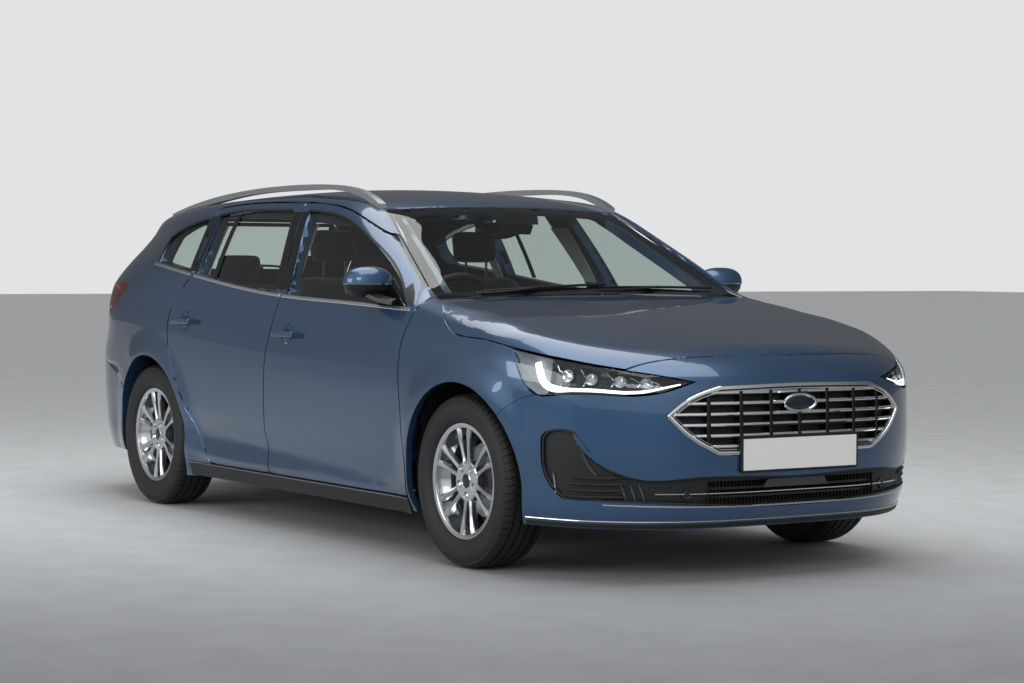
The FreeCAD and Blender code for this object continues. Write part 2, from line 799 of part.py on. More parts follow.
def door_solid(region, edge_insets, inner_insets, window, handle_at):
    """Door: outer panel with flange, inner box, window opening and handle."""
    panel = side_slab(0.0, panel_depth).common(through_y(region(edge_insets), -1, 300))
    core = side_slab(3.0, door_depth).common(through_y(region(inner_insets), -1, 300))
    x, z = handle_at
    bowl = Part.makeSphere(52, V(station(x), -side_width(x, z) - 24, z))
    door = panel.fuse(core)
    door = door.cut([through_y(window(0), -1, 300), bowl])
    return door.fuse(handle(x, z))


def glass_solid(window):
    """Pane seated just inside its opening."""
    depth = S["glassrecess"]
    pane = side_slab(depth, depth + S["glassthickness"])
    return pane.common(through_y(window(0.3), -1, 300))


def doors():
    """Four doors and their glass."""
    front = door_solid(front_door, [0, 0, 0, 0], [45, INSET, INSET, INSET], front_window, FRONT_HANDLE)
    rear = door_solid(rear_door, [GAP, 0, 0, 0], [GAP + 88, INSET, INSET, INSET], rear_window, REAR_HANDLE)
    beside_screen = slab(stations(WINDSCREEN_BASE + 12, WINDSCREEN_TOP, 10), stations(-1.04, -0.3, 6),
                         share_ray, -20.0, 90.0)
    front = front.cut(beside_screen)
    front_glass = glass_solid(front_window)
    rear_glass = glass_solid(rear_window)
    for name, shape in (("front_door", front), ("rear_door", rear),
                        ("front_door_glass", front_glass), ("rear_door_glass", rear_glass)):
        add(name + "_right", shape)
        add(name + "_left", mirrored(shape))
    quarter = glass_solid(quarter_window)
    add("quarter_glasses", Part.makeCompound([quarter, mirrored(quarter)]))


# Bonnet, wings and nose.
HOOD_REAR = 1088.0
HOOD_NOSE = 2218.0
HOOD_SIDE = [(1088, 992), (1140, 978), (1225, 944), (1300, 900), (1383, 868), (1553, 854),
             (1743, 828), (1885, 806), (2007, 783), (2111, 764), (2240, 738)]
LAMP_TOP = [(1743, 823), (1885, 800), (2007, 777), (2111, 758), (2218, 736), (2272, 716)]
LAMP_LOW = [(1743, 823), (1789, 762), (1836, 694), (1894, 662), (1975, 666), (2139, 668), (2236, 679),
            (2272, 716)]
WING_BUMPER = [(1640, 548), (1693, 574), (1779, 628), (1850, 656), (1894, 662)]


def hood_front(y):
    """Station of the bonnet's front edge at a place across."""
    return HOOD_NOSE - 38 * (y / 415) ** 2


def hood_slab(outer, inner):
    """Slab over bonnet and wing tops, side to side."""
    us = stations(1040, 2245, 30)
    shares = spread((-1.0, 0), (-0.86, 7), (-0.55, 9), (0.0, 8), (0.55, 8), (0.86, 9), (1.0, 7))

    def ray(u, v):
        low = 8.0
        a = math.radians(90 - (90 - low) * v)
        return (u, 0.0, CORE), (0.0, math.cos(a), math.sin(a))

    return slab(us, shares, ray, outer, inner)


def hood_region(inset):
    """Bonnet in plan: straight behind, bowed in front."""
    front = [(hood_front(y), y) for y in (-900, -600, -300, 0, 300, 600, 900)]
    return outline([front, [front[-1], (HOOD_REAR, 900)], [(HOOD_REAR, 900), (HOOD_REAR, -900)],
                    [(HOOD_REAR, -900), front[0]]], [inset, 0, inset, 0], 0, plan_place)


def above_hood_line(inset):
    """Side-view region over the bonnet's side shut line, moved up by an inset."""
    line = [(980, 1020)] + HOOD_SIDE + [(2330, 712)]
    return outline([line, [line[-1], (2330, 1300)], [(2330, 1300), (980, 1300)], [(980, 1300), line[0]]],
                   [inset, 0, 0, 0])


def hood():
    """Bonnet shell, wrapping over the wing tops."""
    above = through_y(above_hood_line(0), 1, -1000, 1000)
    plan = hood_region(0).extrude(V(0, 0, 1500))
    shell = hood_slab(0.0, S["hoodthickness"])
    add("hood", shell.common(above).common(plan))


def wing_slab(outer, inner):
    """Right-hand slab of the wing from door edge to lamp."""
    us = stations(1030, 1960, 24)
    angles = spread((LOW_ANGLE, 0), (8, 10), (36, 20))
    return slab(us, angles, side_ray(-1), outer, inner)


WING_FOOT = 178.0
HOOD_GAP = 4.5


def right_wing():
    """Right front wing."""
    lead = [(x + GAP, z) for x, z in FRONT_LEAD]
    rear = [(lead[0][0], WING_FOOT)] + lead + [(lead[-1][0] + 2, 1000)]
    region = outline([
        [(1640, WING_FOOT), (1640, WING_BUMPER[0][1])], WING_BUMPER, LAMP_LOW[:4][::-1],
        [LAMP_LOW[0], (LAMP_LOW[0][0], 1050)], [(LAMP_LOW[0][0], 1050), (rear[-1][0], 1050)],
        [(rear[-1][0], 1050)] + rear[::-1], [rear[0], (1640, WING_FOOT)]], [0, 2, 2, 0, 0, 0, 0])
    panel = wing_slab(0.0, SKIN).common(through_y(region, -1, 300))
    glass_foot = Part.makeBox(station(1086) - station(1000), 752, 200, V(station(1000), -752, 900))
    return cut_each(panel, [arch_disc(FRONT_AXLE, S["archradius"], 400, 1100, -1),
                            through_y(above_hood_line(-HOOD_GAP), -1, 300), glass_foot])


def wings():
    """Both front wings."""
    right = right_wing()
    add("wings", Part.makeCompound([right, mirrored(right)]))


def nose_slab(outer, inner, low=196.0, high=812.0):
    """Slab round the nose from arch to arch."""
    us = stations(low, high, 22)
    bearings = spread((-86.0, 0), (-62, 7), (-30, 9), (0, 5), (30, 5), (62, 9), (86, 7))
    return slab(us, bearings, nose_ray, outer, inner, True)


def tail_slab(outer, inner, low=225.0, high=700.0):
    """Slab round the tail from arch to arch."""
    us = stations(low, high, 16)
    bearings = spread((-88.0, 0), (-55, 8), (-25, 8), (0, 4), (25, 4), (55, 8), (88, 8))
    return slab(us, bearings, tail_ray, outer, inner, True)


def both_sides(face, start=0.0, end=1100.0):
    """Prisms of a side-view outline on both sides of the car."""
    return [through_y(face, 1, start, end), through_y(face, -1, start, end)]


# Nose openings seen from in front.
GRILLE_TOP = [(345, 702), (0, 708), (-345, 702)]
GRILLE_SIDE = [(352, 458), (470, 528), (537, 598), (470, 655), (345, 702)]
GRILLE_FRAME = 22.0
PLATE_HEIGHT = 458.0
LOWER_RIGHT = [(0, 266), (385, 280), (787, 298), (812, 350), (828, 430), (832, 512), (819, 541),
               (774, 540), (751, 510), (738, 462), (680, 398), (469, 380), (0, 376)]


def grille_outline(inset):
    """Six-cornered upper grille."""
    left = [(-y, z) for y, z in GRILLE_SIDE[::-1]]
    lower = [GRILLE_SIDE[:3], GRILLE_SIDE[2:]]
    other = [left[:3], left[2:]]
    foot = [left[-1], GRILLE_SIDE[0]]
    return outline([lower[0], lower[1], GRILLE_TOP, other[0], other[1], foot], inset, 12, end_place)


def lower_outline(inset):
    """Lower intake and the dark side pockets as one opening."""
    low = [(-y, z) for y, z in LOWER_RIGHT[2:0:-1]] + LOWER_RIGHT[:3]
    side = LOWER_RIGHT[2:6]
    cap = LOWER_RIGHT[5:8]
    inner = LOWER_RIGHT[7:]
    inner = inner + [(-y, z) for y, z in inner[-2::-1]]
    far_cap = [(-y, z) for y, z in cap[::-1]]
    far_side = [(-y, z) for y, z in side[::-1]]
    return outline([low, side, cap, inner, far_cap, far_side], inset, 5, end_place)


def lamp_outline(inset):
    """Headlamp in side view."""
    return outline([LAMP_LOW, LAMP_TOP[::-1]], inset)


def nose_parts():
    """Front bumper, grilles, headlamps and plate."""
    body = nose_slab(0.0, S["bumperthickness"])
    seam_end = (WING_BUMPER[-1][0] + 2, 900)
    arch_top = (1290, 900)
    arch_seam = (arch_top[0], WING_BUMPER[0][1])
    wing = outline([[arch_seam, WING_BUMPER[0]], WING_BUMPER, [WING_BUMPER[-1], seam_end], [seam_end, arch_top],
                    [arch_top, arch_seam]])
    wheels = [arch_disc(FRONT_AXLE, S["archradius"], 400, 1100, sign) for sign in (1, -1)]
    bonnet_space = hood_region(-GAP).extrude(V(0, 0, 400))
    bonnet_space.translate(V(0, 0, 740))
    for gone in (both_sides(wing, 350), [Part.makeBox(300, 2200, 900, V(station(1080), -1100, 100))], wheels,
                 [bonnet_space], both_sides(lamp_outline(-2), 350), [through_x(grille_outline(0), 1500, 2600)],
                 [through_x(lower_outline(0), 1500, 2600)]):
        body = body.cut(gone)
    add("front_bumper", body)
    frame = through_x(grille_outline(SEAM).cut(grille_outline(GRILLE_FRAME)), 1500, 2600)
    frame = frame.common(nose_slab(-6.0, 40.0, 430, 730))
    inside = through_x(grille_outline(GRILLE_FRAME - 1), 1500, 2600)
    bars = [Part.makeBox(700, 1200, 10, V(1700, -600, 483 + 38 * i)) for i in range(6)]
    bars = bars[0].fuse(bars[1:]).common(nose_slab(8.0, 40.0, 430, 730))
    posts = [Part.makeBox(700, 9, 300, V(1700, y - 4.5, 430)) for y in (-390, -260, -130, 0, 130, 260, 390)]
    posts = posts[0].fuse(posts[1:]).common(nose_slab(16.0, 40.0, 430, 730))
    long = S["platelength"]
    high = S["plateheight"]
    thick = S["platethickness"]
    corner = V(FRONT_END - thick, -long / 2, PLATE_HEIGHT - high / 2)
    behind = Part.makeBox(60, long + 2 * SEAM, high + 2 * SEAM, corner - V(SEAM, SEAM, SEAM))
    add("grille", frame.fuse(bars.fuse(posts).common(inside)).cut(behind))
    add("number_plate_front", Part.makeBox(thick, long, high), corner)
    lower = through_x(lower_outline(SEAM), 1500, 2600)
    panel = nose_slab(14.0, 34.0, 240, 570).common(lower)
    slots = [Part.makeBox(700, 760, 22, V(1700, -380, 284 + 30 * i)) for i in range(3)]
    add("lower_grille", panel.cut(slots))
    lamps = nose_slab(0.0, 100.0, 640, 835)
    lamps = [lamps.common(side) for side in both_sides(lamp_outline(SEAM), 350)]
    surround = through_x(grille_outline(-SEAM), 1500, 2600)
    add("headlamps", Part.makeCompound([lamp.cut(surround) for lamp in lamps]))


# Tail.
GATE_WINDOW = [(520, 1066), (512, 1100), (462, 1322)]
GATE_LAMP = [(410, 1008), (600, 1040), (612, 850), (440, 872)]


def gate_ring(edge, inset, corner):
    """Ring seen along the car from its right edge and the mirror image."""
    left = [(-y, z) for y, z in edge[::-1]]
    return outline([edge, [edge[-1], left[0]], left, [left[-1], edge[0]]], inset, corner, end_place)


def gate_slab(outer, inner):
    """Slab over tailgate and roof spoiler."""
    us = spread((-640, 0), (-480, 8), (0, 6), (480, 6), (640, 8))
    angles = spread((54.0, 0), (20, 14), (-30, 14))
    return slab(us, angles, gate_ray, outer, inner)


def tail_parts():
    """Tailgate with its glass, lamps and plate, rear bumper and tail lamps."""
    start = station(-2500)
    end = station(TAILGATE_TOP) - GAP
    flange = gate_slab(0.0, FLANGE).common(through_x(gate_outline(0), start, end))
    core = gate_slab(3.0, S["tailgatethickness"]).common(through_x(gate_outline(24), start, end - 14))
    window = gate_ring(GATE_WINDOW, 0, 26)
    lamp_ring = [GATE_LAMP[:2], GATE_LAMP[1:3], GATE_LAMP[2:], [GATE_LAMP[3], GATE_LAMP[0]]]
    lamp = outline([edge[::-1] for edge in lamp_ring[::-1]], 0, 4, end_place)
    lamp_hole = through_x(lamp, start, end).common(gate_slab(-30.0, 30.0))
    gate = flange.fuse(core).cut([through_x(window, start, end), lamp_hole, mirrored(lamp_hole)])
    add("tailgate", gate)
    pane = gate_slab(6.0, 11.0).common(through_x(gate_ring(GATE_WINDOW, SEAM, 26), start, end))
    add("tailgate_glass", pane)
    lamp = outline([edge[::-1] for edge in lamp_ring[::-1]], SEAM, 4, end_place)
    unit = gate_slab(0.0, 29.0).common(through_x(lamp, start, end))
    unit = unit.common(through_x(gate_outline(0.2), start, end))
    add("tailgate_lamps", Part.makeCompound([unit, mirrored(unit)]))
    plate = Part.makeBox(600, S["platelength"], S["plateheight"],
                         V(station(-2500), -S["platelength"] / 2, 748))
    add("number_plate_rear", plate.common(gate_slab(-S["platethickness"] - SEAM, -SEAM)))
    bumper = tail_slab(0.0, 45.0)
    keep = through_y(rear_bumper_region(1), 1, -1000, 1000)
    gone = [through_x(gate_outline(-GATE_GAP), start, 0)]
    for sign in (1, -1):
        gone.append(arch_disc(REAR_AXLE, S["archradius"], 400, 1100, sign))
    foot = GATE_EDGE[0][1]
    lip = run_to_skin((-1500.0, 0.0, foot), (-1.0, 0.0, 0.0), 3.0)
    rest = Part.makeBox(20, 90, 10 + GATE_GAP - SEAM, V(station(-1500 - lip), -45, foot - GATE_GAP - 10))
    add("rear_bumper", cut_each(bumper.common(keep), gone).fuse(rest))
    lamp = side_slab(0.0, 58.0).common(through_y(tail_lamp_region(SEAM), -1, 300))
    lamp = lamp.cut(through_x(gate_outline(-GATE_GAP), start, end))
    add("tail_lamps", Part.makeCompound([lamp, mirrored(lamp)]))


def share_ray(u, v):
    """Upright rays whose place across is a share of the roof's or windscreen's half width."""
    return top_ray(u, v * (roof_edge(u) - 1.2))


def roof_parts():
    """Roof skin with its lining, windscreen, cowl and rails."""
    recess, glass = 2.0, 5.0
    add("roof_panel", slab(ROOF_STATIONS, ROOF_ACROSS, share_ray, 0.0, S["roofdepth"]))
    add("windscreen", slab(stations(WINDSCREEN_BASE, WINDSCREEN_TOP, 12), ROOF_ACROSS, share_ray,
                           recess, recess + glass))

    lip = slab(stations(1067, 1072, 3), stations(-0.96, 0.96, 12), share_ray, 8.0, 14.0)
    tray = slab(stations(1067, 1150, 10), stations(-0.955, 0.955, 12), share_ray, 34.0, 40.0)
    riser = slab(stations(1067.5, 1071.5, 3), stations(-0.95, 0.95, 12), share_ray, 11.0, 37.0)
    add("cowl", lip.fuse([tray, riser]))
    top = [(345, 1368), (260, 1405), (154, 1431), (-238, 1460), (-844, 1447), (-1356, 1399), (-1640, 1350)]
    low = [(-1640, 1320), (-1560, 1348), (-1356, 1377), (-844, 1424), (-238, 1436), (154, 1408), (280, 1368),
           (345, 1330)]
    ring = outline([low, [low[-1], top[0]], top, [top[-1], low[0]]], 0, 0)
    rail = ring.extrude(V(0, S["railwidth"], 0))
    rail.translate(V(0, ROOF_EDGE - S["railfoot"], 0))
    rail = rail.cut(mirrored(side_slab(-SEAM, 60.0)))
    rail = rail.cut(slab(stations(400, -1800, 24), stations(0.5, 1.0, 6), share_ray, -2 * SEAM, 40.0))
    rail = max(rail.Solids, key=lambda solid: solid.Volume)
    add("roof_rails", Part.makeCompound([rail, mirrored(rail)]))


# Mirrors.
def mirrors():
    """Door mirrors: housing on a foot at the front corner of the door glass."""
    x, y, z = 742.0, HALF - 10, 1046.0
    pod = Part.makeSphere(1.0)
    stretch = FreeCAD.Matrix()
    stretch.A11, stretch.A22, stretch.A33 = 66.0, 104.0, 66.0
    pod = pod.transformGeometry(stretch)
    pod.translate(V(station(x), -y + 24, z))
    glass_side = Part.makeBox(200, 400, 300, V(station(x) - 244, -y - 180, z - 150))
    pod = pod.cut(glass_side)
    foot = Part.makeLoft([
        Part.Wire(Part.makePolygon([V(station(930), -y + 90, 975), V(station(860), -y + 98, 984),
                                    V(station(860), -y + 98, 958), V(station(930), -y + 90, 952),
                                    V(station(930), -y + 90, 975)]).Edges),
        Part.Wire(Part.makePolygon([V(station(800), -y - 6, 1012), V(station(730), -y - 6, 1016),
                                    V(station(730), -y - 6, 994), V(station(800), -y - 6, 990),
                                    V(station(800), -y - 6, 1012)]).Edges)], True)
    mirror = pod.fuse(foot)
    mirror = mirror.cut(side_slab(-SEAM, 80.0))
    mirror = max(mirror.Solids, key=lambda solid: solid.Volume)
    add("mirror_right", mirror)
    add("mirror_left", mirrored(mirror))


# Structure under the skin.
CABIN_HALF = 742.0


def profile_bar(points, half, centre=0.0):
    """Side-view polygon drawn out across the car."""
    face = Part.Face(Part.makePolygon([V(station(x), 0, z) for x, z in points + points[:1]]))
    bar = face.extrude(V(0, 2 * half, 0))
    bar.translate(V(0, centre - half, 0))
    return bar


def floor():
    """Floor pan with firewall, tunnel, seat step, boot floor and rear wheel boxes."""
    t = S["floorthickness"]
    low = S["floorheight"]
    boot = S["bootheight"]
    step = boot - 100
    side = [(1034, low), (1034, 925), (1012, 925), (1012, low + t), (-640, low + t), (-690, step),
            (-1085, step), (-1110, boot), (-2190, boot), (-2190, boot - t), (-1125, boot - t),
            (-1100, step - t), (-705, step - t), (-655, low)]
    pan = profile_bar(side, CABIN_HALF)
    plan = Part.Face(Part.makePolygon([V(station(x), y, 0) for x, y in (
        (1040, -750), (1040, 750), (-1640, 750), (-1900, 690), (-2060, 600), (-2150, 420), (-2150, -420),
        (-2060, -600), (-1900, -690), (-1640, -750), (1040, -750))]))
    pan = pan.common(plan.extrude(V(0, 0, 1500)))
    tunnel = profile_bar([(1012, low + t), (1012, TUNNEL_FRONT), (-600, TUNNEL_REAR), (-650, TUNNEL_REAR),
                          (-650, low + t)], 120)
    hollow = profile_bar([(1040, low - 1), (1040, TUNNEL_FRONT - t), (-600, TUNNEL_REAR - t),
                          (-650, low - 1)], 98)
    notch = Part.makeBox(station(-610) - station(-740), 240, 100, V(station(-740), -140, low - 1))
    boxes = []
    insides = []
    for sign in (1, -1):
        outer = arch_disc(REAR_AXLE, S["archradius"] + 32, 622, 795, sign)
        inner = arch_disc(REAR_AXLE, S["archradius"] + 10, 640, 900, sign)
        below = Part.makeBox(1200, 2000, 400, V(REAR_AXLE - 600, -1000, low - 400))
        axle_way = Part.makeBox(140, 60, 150, V(REAR_AXLE - 70, (600 if sign > 0 else -660), 250))
        boxes.append(cut_each(outer, [inner, below, axle_way]))
        insides.append(inner)
    pan = pan.fuse(tunnel)
    pan = cut_each(pan, [hollow, notch] + insides).fuse(boxes)
    wall = side_slab(-60.0, lambda u, v: wall_depth(u, v) + SEAM)
    pillar = box_yz(-1, CABIN_HALF + 6 - SEAM, 1100, 100, 1100, 950, 1060)
    pan = cut_each(pan, [wall, mirrored(wall), pillar, mirrored(pillar)])
    add("floor_pan", max(pan.Solids, key=lambda solid: solid.Volume))


TUNNEL_FRONT = 370.0
TUNNEL_REAR = 310.0


def tunnel_top(x):
    """Height of the tunnel at a station."""
    return TUNNEL_REAR + (TUNNEL_FRONT - TUNNEL_REAR) * (x + 600) / 1612


def cabin_fittings():
    """Dashboard, seats and steering wheel."""
    front = [(1008, 560), (1008, 935), (960, 962), (780, 948), (712, 900), (700, 800), (760, 640), (860, 560)]
    dash = profile_bar(front, CABIN_HALF - 10)
    shroud = Part.makeCylinder(52, 190, V(station(STEERING_X), -DRIVER_Y, STEERING_Z)
                               + STEERING_AXIS * (HUB_DEPTH + SEAM), STEERING_AXIS)
    binnacle = profile_bar([(790, 945), (800, 985), (720, 990), (712, 900)], 170, -DRIVER_Y)
    console = profile_bar([(860, tunnel_top(860) + SEAM), (860, 600), (780, 640), (430, 500), (-60, 470),
                           (-80, tunnel_top(-80) + SEAM)], 105)
    console = console.cut(profile_bar([(380, 470), (380, 520), (260, 520), (260, 470)], 60))
    add("dashboard", dash.fuse([shroud, binnacle, console]).removeSplitter())
    add("front_seats", Part.makeCompound([seat(station(-30), side * DRIVER_Y, S["seatwidth"])
                                          for side in (-1, 1)]))
    step = S["bootheight"] - 100 + SEAM
    back = [(-650, step + 60), (-632, step + 165), (-1060, step + 150), (-1255, 1000), (-1335, 995),
            (-1180, step + 135), (-1125, step + 122), (-1085, step + 84)]
    bench = profile_bar(back, 608)
    bench = bench.makeFillet(24, bench.Edges)
    bench = bench.fuse(profile_bar([(-700, step), (-700, step + 80), (-1060, step + 80), (-1060, step)], 560))
    for y in (-400, 0, 400):
        bench = bench.fuse(head_rest(station(-1296), y, 1030))
    add("rear_seat", bench)
    rim = Part.makeTorus(S["steeringwheelradius"], S["steeringgrip"])
    hub = Part.makeCylinder(62, HUB_DEPTH + 12, V(0, 0, -HUB_DEPTH))
    spokes = [Part.makeBox(S["steeringwheelradius"], 44, 14, V(0, -22, -14)) for _ in range(3)]
    for spoke, turn in zip(spokes, (0, 180, -90)):
        spoke.rotate(V(0, 0, 0), V(0, 0, 1), turn)
    wheel = hub.fuse(spokes).fuse(rim)
    item = add("steering_wheel", wheel)
    item.Placement = FreeCAD.Placement(V(station(STEERING_X), -DRIVER_Y, STEERING_Z),
                                       FreeCAD.Rotation(V(0, 0, -1), STEERING_AXIS))


STEERING_X = 545.0
STEERING_Z = 902.0
DRIVER_Y = 372.0
HUB_DEPTH = 34.0
STEERING_AXIS = V(math.cos(math.radians(24)), 0, -math.sin(math.radians(24)))


def seat_form(x, y, width, foot, top, back):
    """Cushion and backrest drawn out across, corners rounded."""
    side = [(x + 260, top - 110), (x + 275, top - 10), (x - 190, top - 42), (x - 385, top + back),
            (x - 500, top + back - 10), (x - 350, top - 150), (x - 200, top - 130)]
    face = Part.Face(Part.makePolygon([V(a, 0, b) for a, b in side + side[:1]]))
    form = face.extrude(V(0, width, 0))
    form.translate(V(0, y - width / 2, 0))
    form = form.makeFillet(28, form.Edges)
    base = Part.makeBox(340, width * 0.7, top - 115 - foot, V(x - 140, y - width * 0.35, foot))
    return form.fuse(base)


def head_rest(x, y, z):
    """Head restraint on its posts."""
    rest = Part.makeBox(80, 240, 150, V(x - 40, y - 120, z))
    rest = rest.makeFillet(30, rest.Edges)
    posts = [Part.makeCylinder(7, 130, V(x, y + shift, z - 110)) for shift in (-60, 60)]
    return rest.fuse(posts)


def seat(x, y, width):
    """Front seat with head restraint, on rails over the floor."""
    foot = S["floorheight"] + S["floorthickness"] + SEAM
    return seat_form(x, y, width, foot, 470, 600).fuse(head_rest(x - 425, y, 1120))


def running_gear():
    """Engine, front frame, rear axle, tank and exhaust."""
    engine = Part.makeBox(400, 640, 520, V(station(1500), -330, 262))
    engine = engine.makeFillet(40, engine.Edges)
    head = Part.makeBox(240, 420, 60, V(station(1570), -300, 760))
    add("engine_block", engine.fuse(head.makeFillet(18, head.Edges)))
    pieces = []
    for sign in (1, -1):
        free = S["archradius"] + S["linerclearance"]
        liner = arch_disc(FRONT_AXLE, free + S["linerthickness"], 465, 858, sign)
        space = arch_disc(FRONT_AXLE, free, 470, 900, sign)
        low = Part.makeBox(1200, 2000, 500, V(FRONT_AXLE - 600, -1000, -280))
        ahead = Part.makeBox(300, 200, 900, V(station(1690), (786 if sign > 0 else -986), 0))
        arm_way = Part.makeBox(340, 80, 110, V(FRONT_AXLE - 190, (430 if sign > 0 else -510), 190))
        door_way = Part.makeBox(70, 70, 600, V(station(1036), (838 if sign > 0 else -908), 100))
        liner = cut_each(liner, [space, low, ahead, arm_way, door_way])
        hole = Part.makeCylinder(78, 300, V(FRONT_AXLE, sign * strut_y(720), 600))
        tower = Part.makeCylinder(92, 26, V(FRONT_AXLE, sign * strut_y(805), 806))
        legs = Part.makeBox(150, 26, 300, V(FRONT_AXLE - 75, -13, 560))
        legs.translate(V(0, sign * 510, 0))
        brace = Part.makeBox(150, 110, 26, V(FRONT_AXLE - 75, (500 if sign > 0 else -610), 806))
        rail = Part.makeBox(station(2140) - station(1034), 62, 110,
                            V(station(1034), (400 if sign > 0 else -462), 380))
        pieces += [liner.cut(hole), tower, legs.cut(space), brace, rail]
    beam = Part.makeBox(60, 960, 110, V(station(2140), -480, 440))
    posts = []
    for y in (-290, 290):
        under = min(CORE + run_to_skin((x, y + side, CORE), (0.0, 0.0, 1.0), S["hoodthickness"] + SEAM)
                    for x in (2145, 2180) for side in (-18, 18))
        posts.append(Part.makeBox(station(2180) - station(2145), 36, under - 545,
                                  V(station(2145), y - 18, 545)))
    subframe = Part.makeBox(330, 800, 40, V(station(1290), -400, 196))
    risers = [Part.makeBox(90, 50, 150, V(station(1330), y, 235)) for y in (-400, 350)]
    frame = pieces[0].fuse(pieces[1:] + [beam, subframe] + risers + posts)
    frame = frame.cut(engine_space())
    engine_feet = [Part.makeBox(90, 80 - SEAM, 60, V(station(1640), -410, 400)),
                   Part.makeBox(90, 100 - SEAM, 60, V(station(1640), 310 + SEAM, 400))]
    frame = frame.fuse(engine_feet)
    add("front_frame", frame)
    add("radiator", Part.makeBox(46, 680, 400), V(station(2140) - 46 - SEAM, -340, 330))
    arms = []
    for sign in (1, -1):
        ball = V(FRONT_AXLE, sign * strut_y(ARM_Z), ARM_Z)
        arm = []
        for x in (-120, 120):
            root = V(FRONT_AXLE + x - 40, sign * (400 + BUSH + SEAM), ARM_Z)
            reach = ball - root
            end = ball - reach * ((BALL + 3 * SEAM) / reach.Length)
            arm.append(tube(root, end, 15))
            arm.append(Part.makeCylinder(BUSH, 60, root - V(30, 0, 0), V(1, 0, 0)))
        arms.append(arm[0].fuse(arm[1:]))
    add("control_arms", Part.makeCompound(arms))
    beam = tube(V(REAR_AXLE + 120, -560, 305), V(REAR_AXLE + 120, 560, 305), 36)
    trailing = []
    for sign in (1, -1):
        trailing.append(tube(V(REAR_AXLE + 400, sign * 545, 262), V(REAR_AXLE, sign * 575, HUB_HEIGHT), 26))
        trailing.append(Part.makeCylinder(44, S["trackrear"] / 2 - 560 - FACE_OFFSET - SEAM,
                                          V(REAR_AXLE, sign * 560, HUB_HEIGHT), V(0, sign, 0)))
        trailing.append(Part.makeCylinder(40, 60, V(REAR_AXLE + 400, sign * 545 - 30, 262), V(0, 1, 0)))
        trailing.append(Part.makeCylinder(48, S["bootheight"] - S["floorthickness"] - 300 - SEAM,
                                          V(REAR_AXLE + 50, sign * 480, 300)))
        trailing.append(caliper_block(sign, REAR_AXLE, S["trackrear"] / 2))
        trailing.append(Part.makeBox(100, 64, 50, V(REAR_AXLE - 130, sign * 690 - 32, HUB_HEIGHT - 25)))
    add("rear_axle", beam.fuse(trailing))
    tank = Part.makeBox(310, 415, 120)
    add("fuel_tank", tank.makeFillet(36, tank.Edges), V(station(-1040), 80, 208))
    add("exhaust", exhaust())


ARM_Z = 226.0
BUSH = 18.0
BALL = 25.5


def engine_space():
    """Room kept free for the engine."""
    return Part.makeBox(440, 700, 400, V(station(1480), -360, 245))


def tube(a, b, radius):
    """Round bar between two points."""
    return Part.makeCylinder(radius, (b - a).Length, a, b - a)


def exhaust():
    """Pipe and rear box along the tunnel."""
    route = ((1250, 0, 250), (900, 0, 225), (-640, 0, 225), (-900, -330, 222), (-1650, -330, 228),
             (-2180, -330, 245))
    points = [V(station(x), y, z) for x, y, z in route]
    ring = Part.Wire(Part.makeCircle(S["exhaustradius"], points[0], points[1] - points[0]))
    pipe = Part.Wire(Part.makePolygon(points).Edges).makePipeShell([ring], True, False, 1)
    box = Part.makeBox(420, 300, 130, V(station(-2090), -480, 190))
    deck = S["bootheight"] - S["floorthickness"] - SEAM
    hangers = [Part.makeCylinder(8, deck - z, V(station(x), -330, z)) for x, z in ((-1560, 228), (-1900, 300))]
    return pipe.fuse([box.makeFillet(48, box.Edges)] + hangers)


KINGPIN_TILT = 10.0


def strut_y(z):
    """Distance of the steering axis from the middle at a height."""
    return S["kingpinoffset"] - math.tan(math.radians(KINGPIN_TILT)) * (z - HUB_HEIGHT)


def knuckles():
    """Front knuckles with strut, spring seat, spindle and caliper."""
    for sign, name in ((-1, "right"), (1, "left")):
        def at(z, shift=0.0):
            return V(FRONT_AXLE, sign * (strut_y(z) + shift), z)
        upright = tube(at(ARM_Z + 22), at(520), 24)
        ball = Part.makeSphere(BALL, at(ARM_Z))
        strut = tube(at(500), at(801), 22)
        spring = tube(at(690), at(790), 58)
        face = S["trackfront"] / 2 - FACE_OFFSET
        carrier = Part.makeCylinder(58, 40, V(FRONT_AXLE, sign * (face - 46), HUB_HEIGHT), V(0, sign, 0))
        steer = tube(at(300), V(FRONT_AXLE - 130, sign * (strut_y(300) - 18), 292), 14)
        caliper = caliper_block(sign, FRONT_AXLE, S["trackfront"] / 2)
        bracket = Part.makeBox(100, 46, 50, V(FRONT_AXLE - 138, sign * (face - 26) - 23, HUB_HEIGHT - 25))
        add("knuckle_" + name, upright.fuse([ball, strut, spring, carrier, steer, bracket, caliper]))


FACE_OFFSET = 62.0


def caliper_block(sign, axle, track_half):
    """Brake caliper over the disc's rear edge."""
    centre = sign * (track_half - 30)
    block = Part.makeBox(58, 72, 88, V(axle - 160, centre - 36, HUB_HEIGHT - 44))
    slot = Part.makeCylinder(S["discradius"] + 6, S["discthickness"] + 12,
                             V(axle, centre - S["discthickness"] / 2 - 6, HUB_HEIGHT), V(0, 1, 0))
    return block.makeFillet(10, block.Edges).cut(slot)


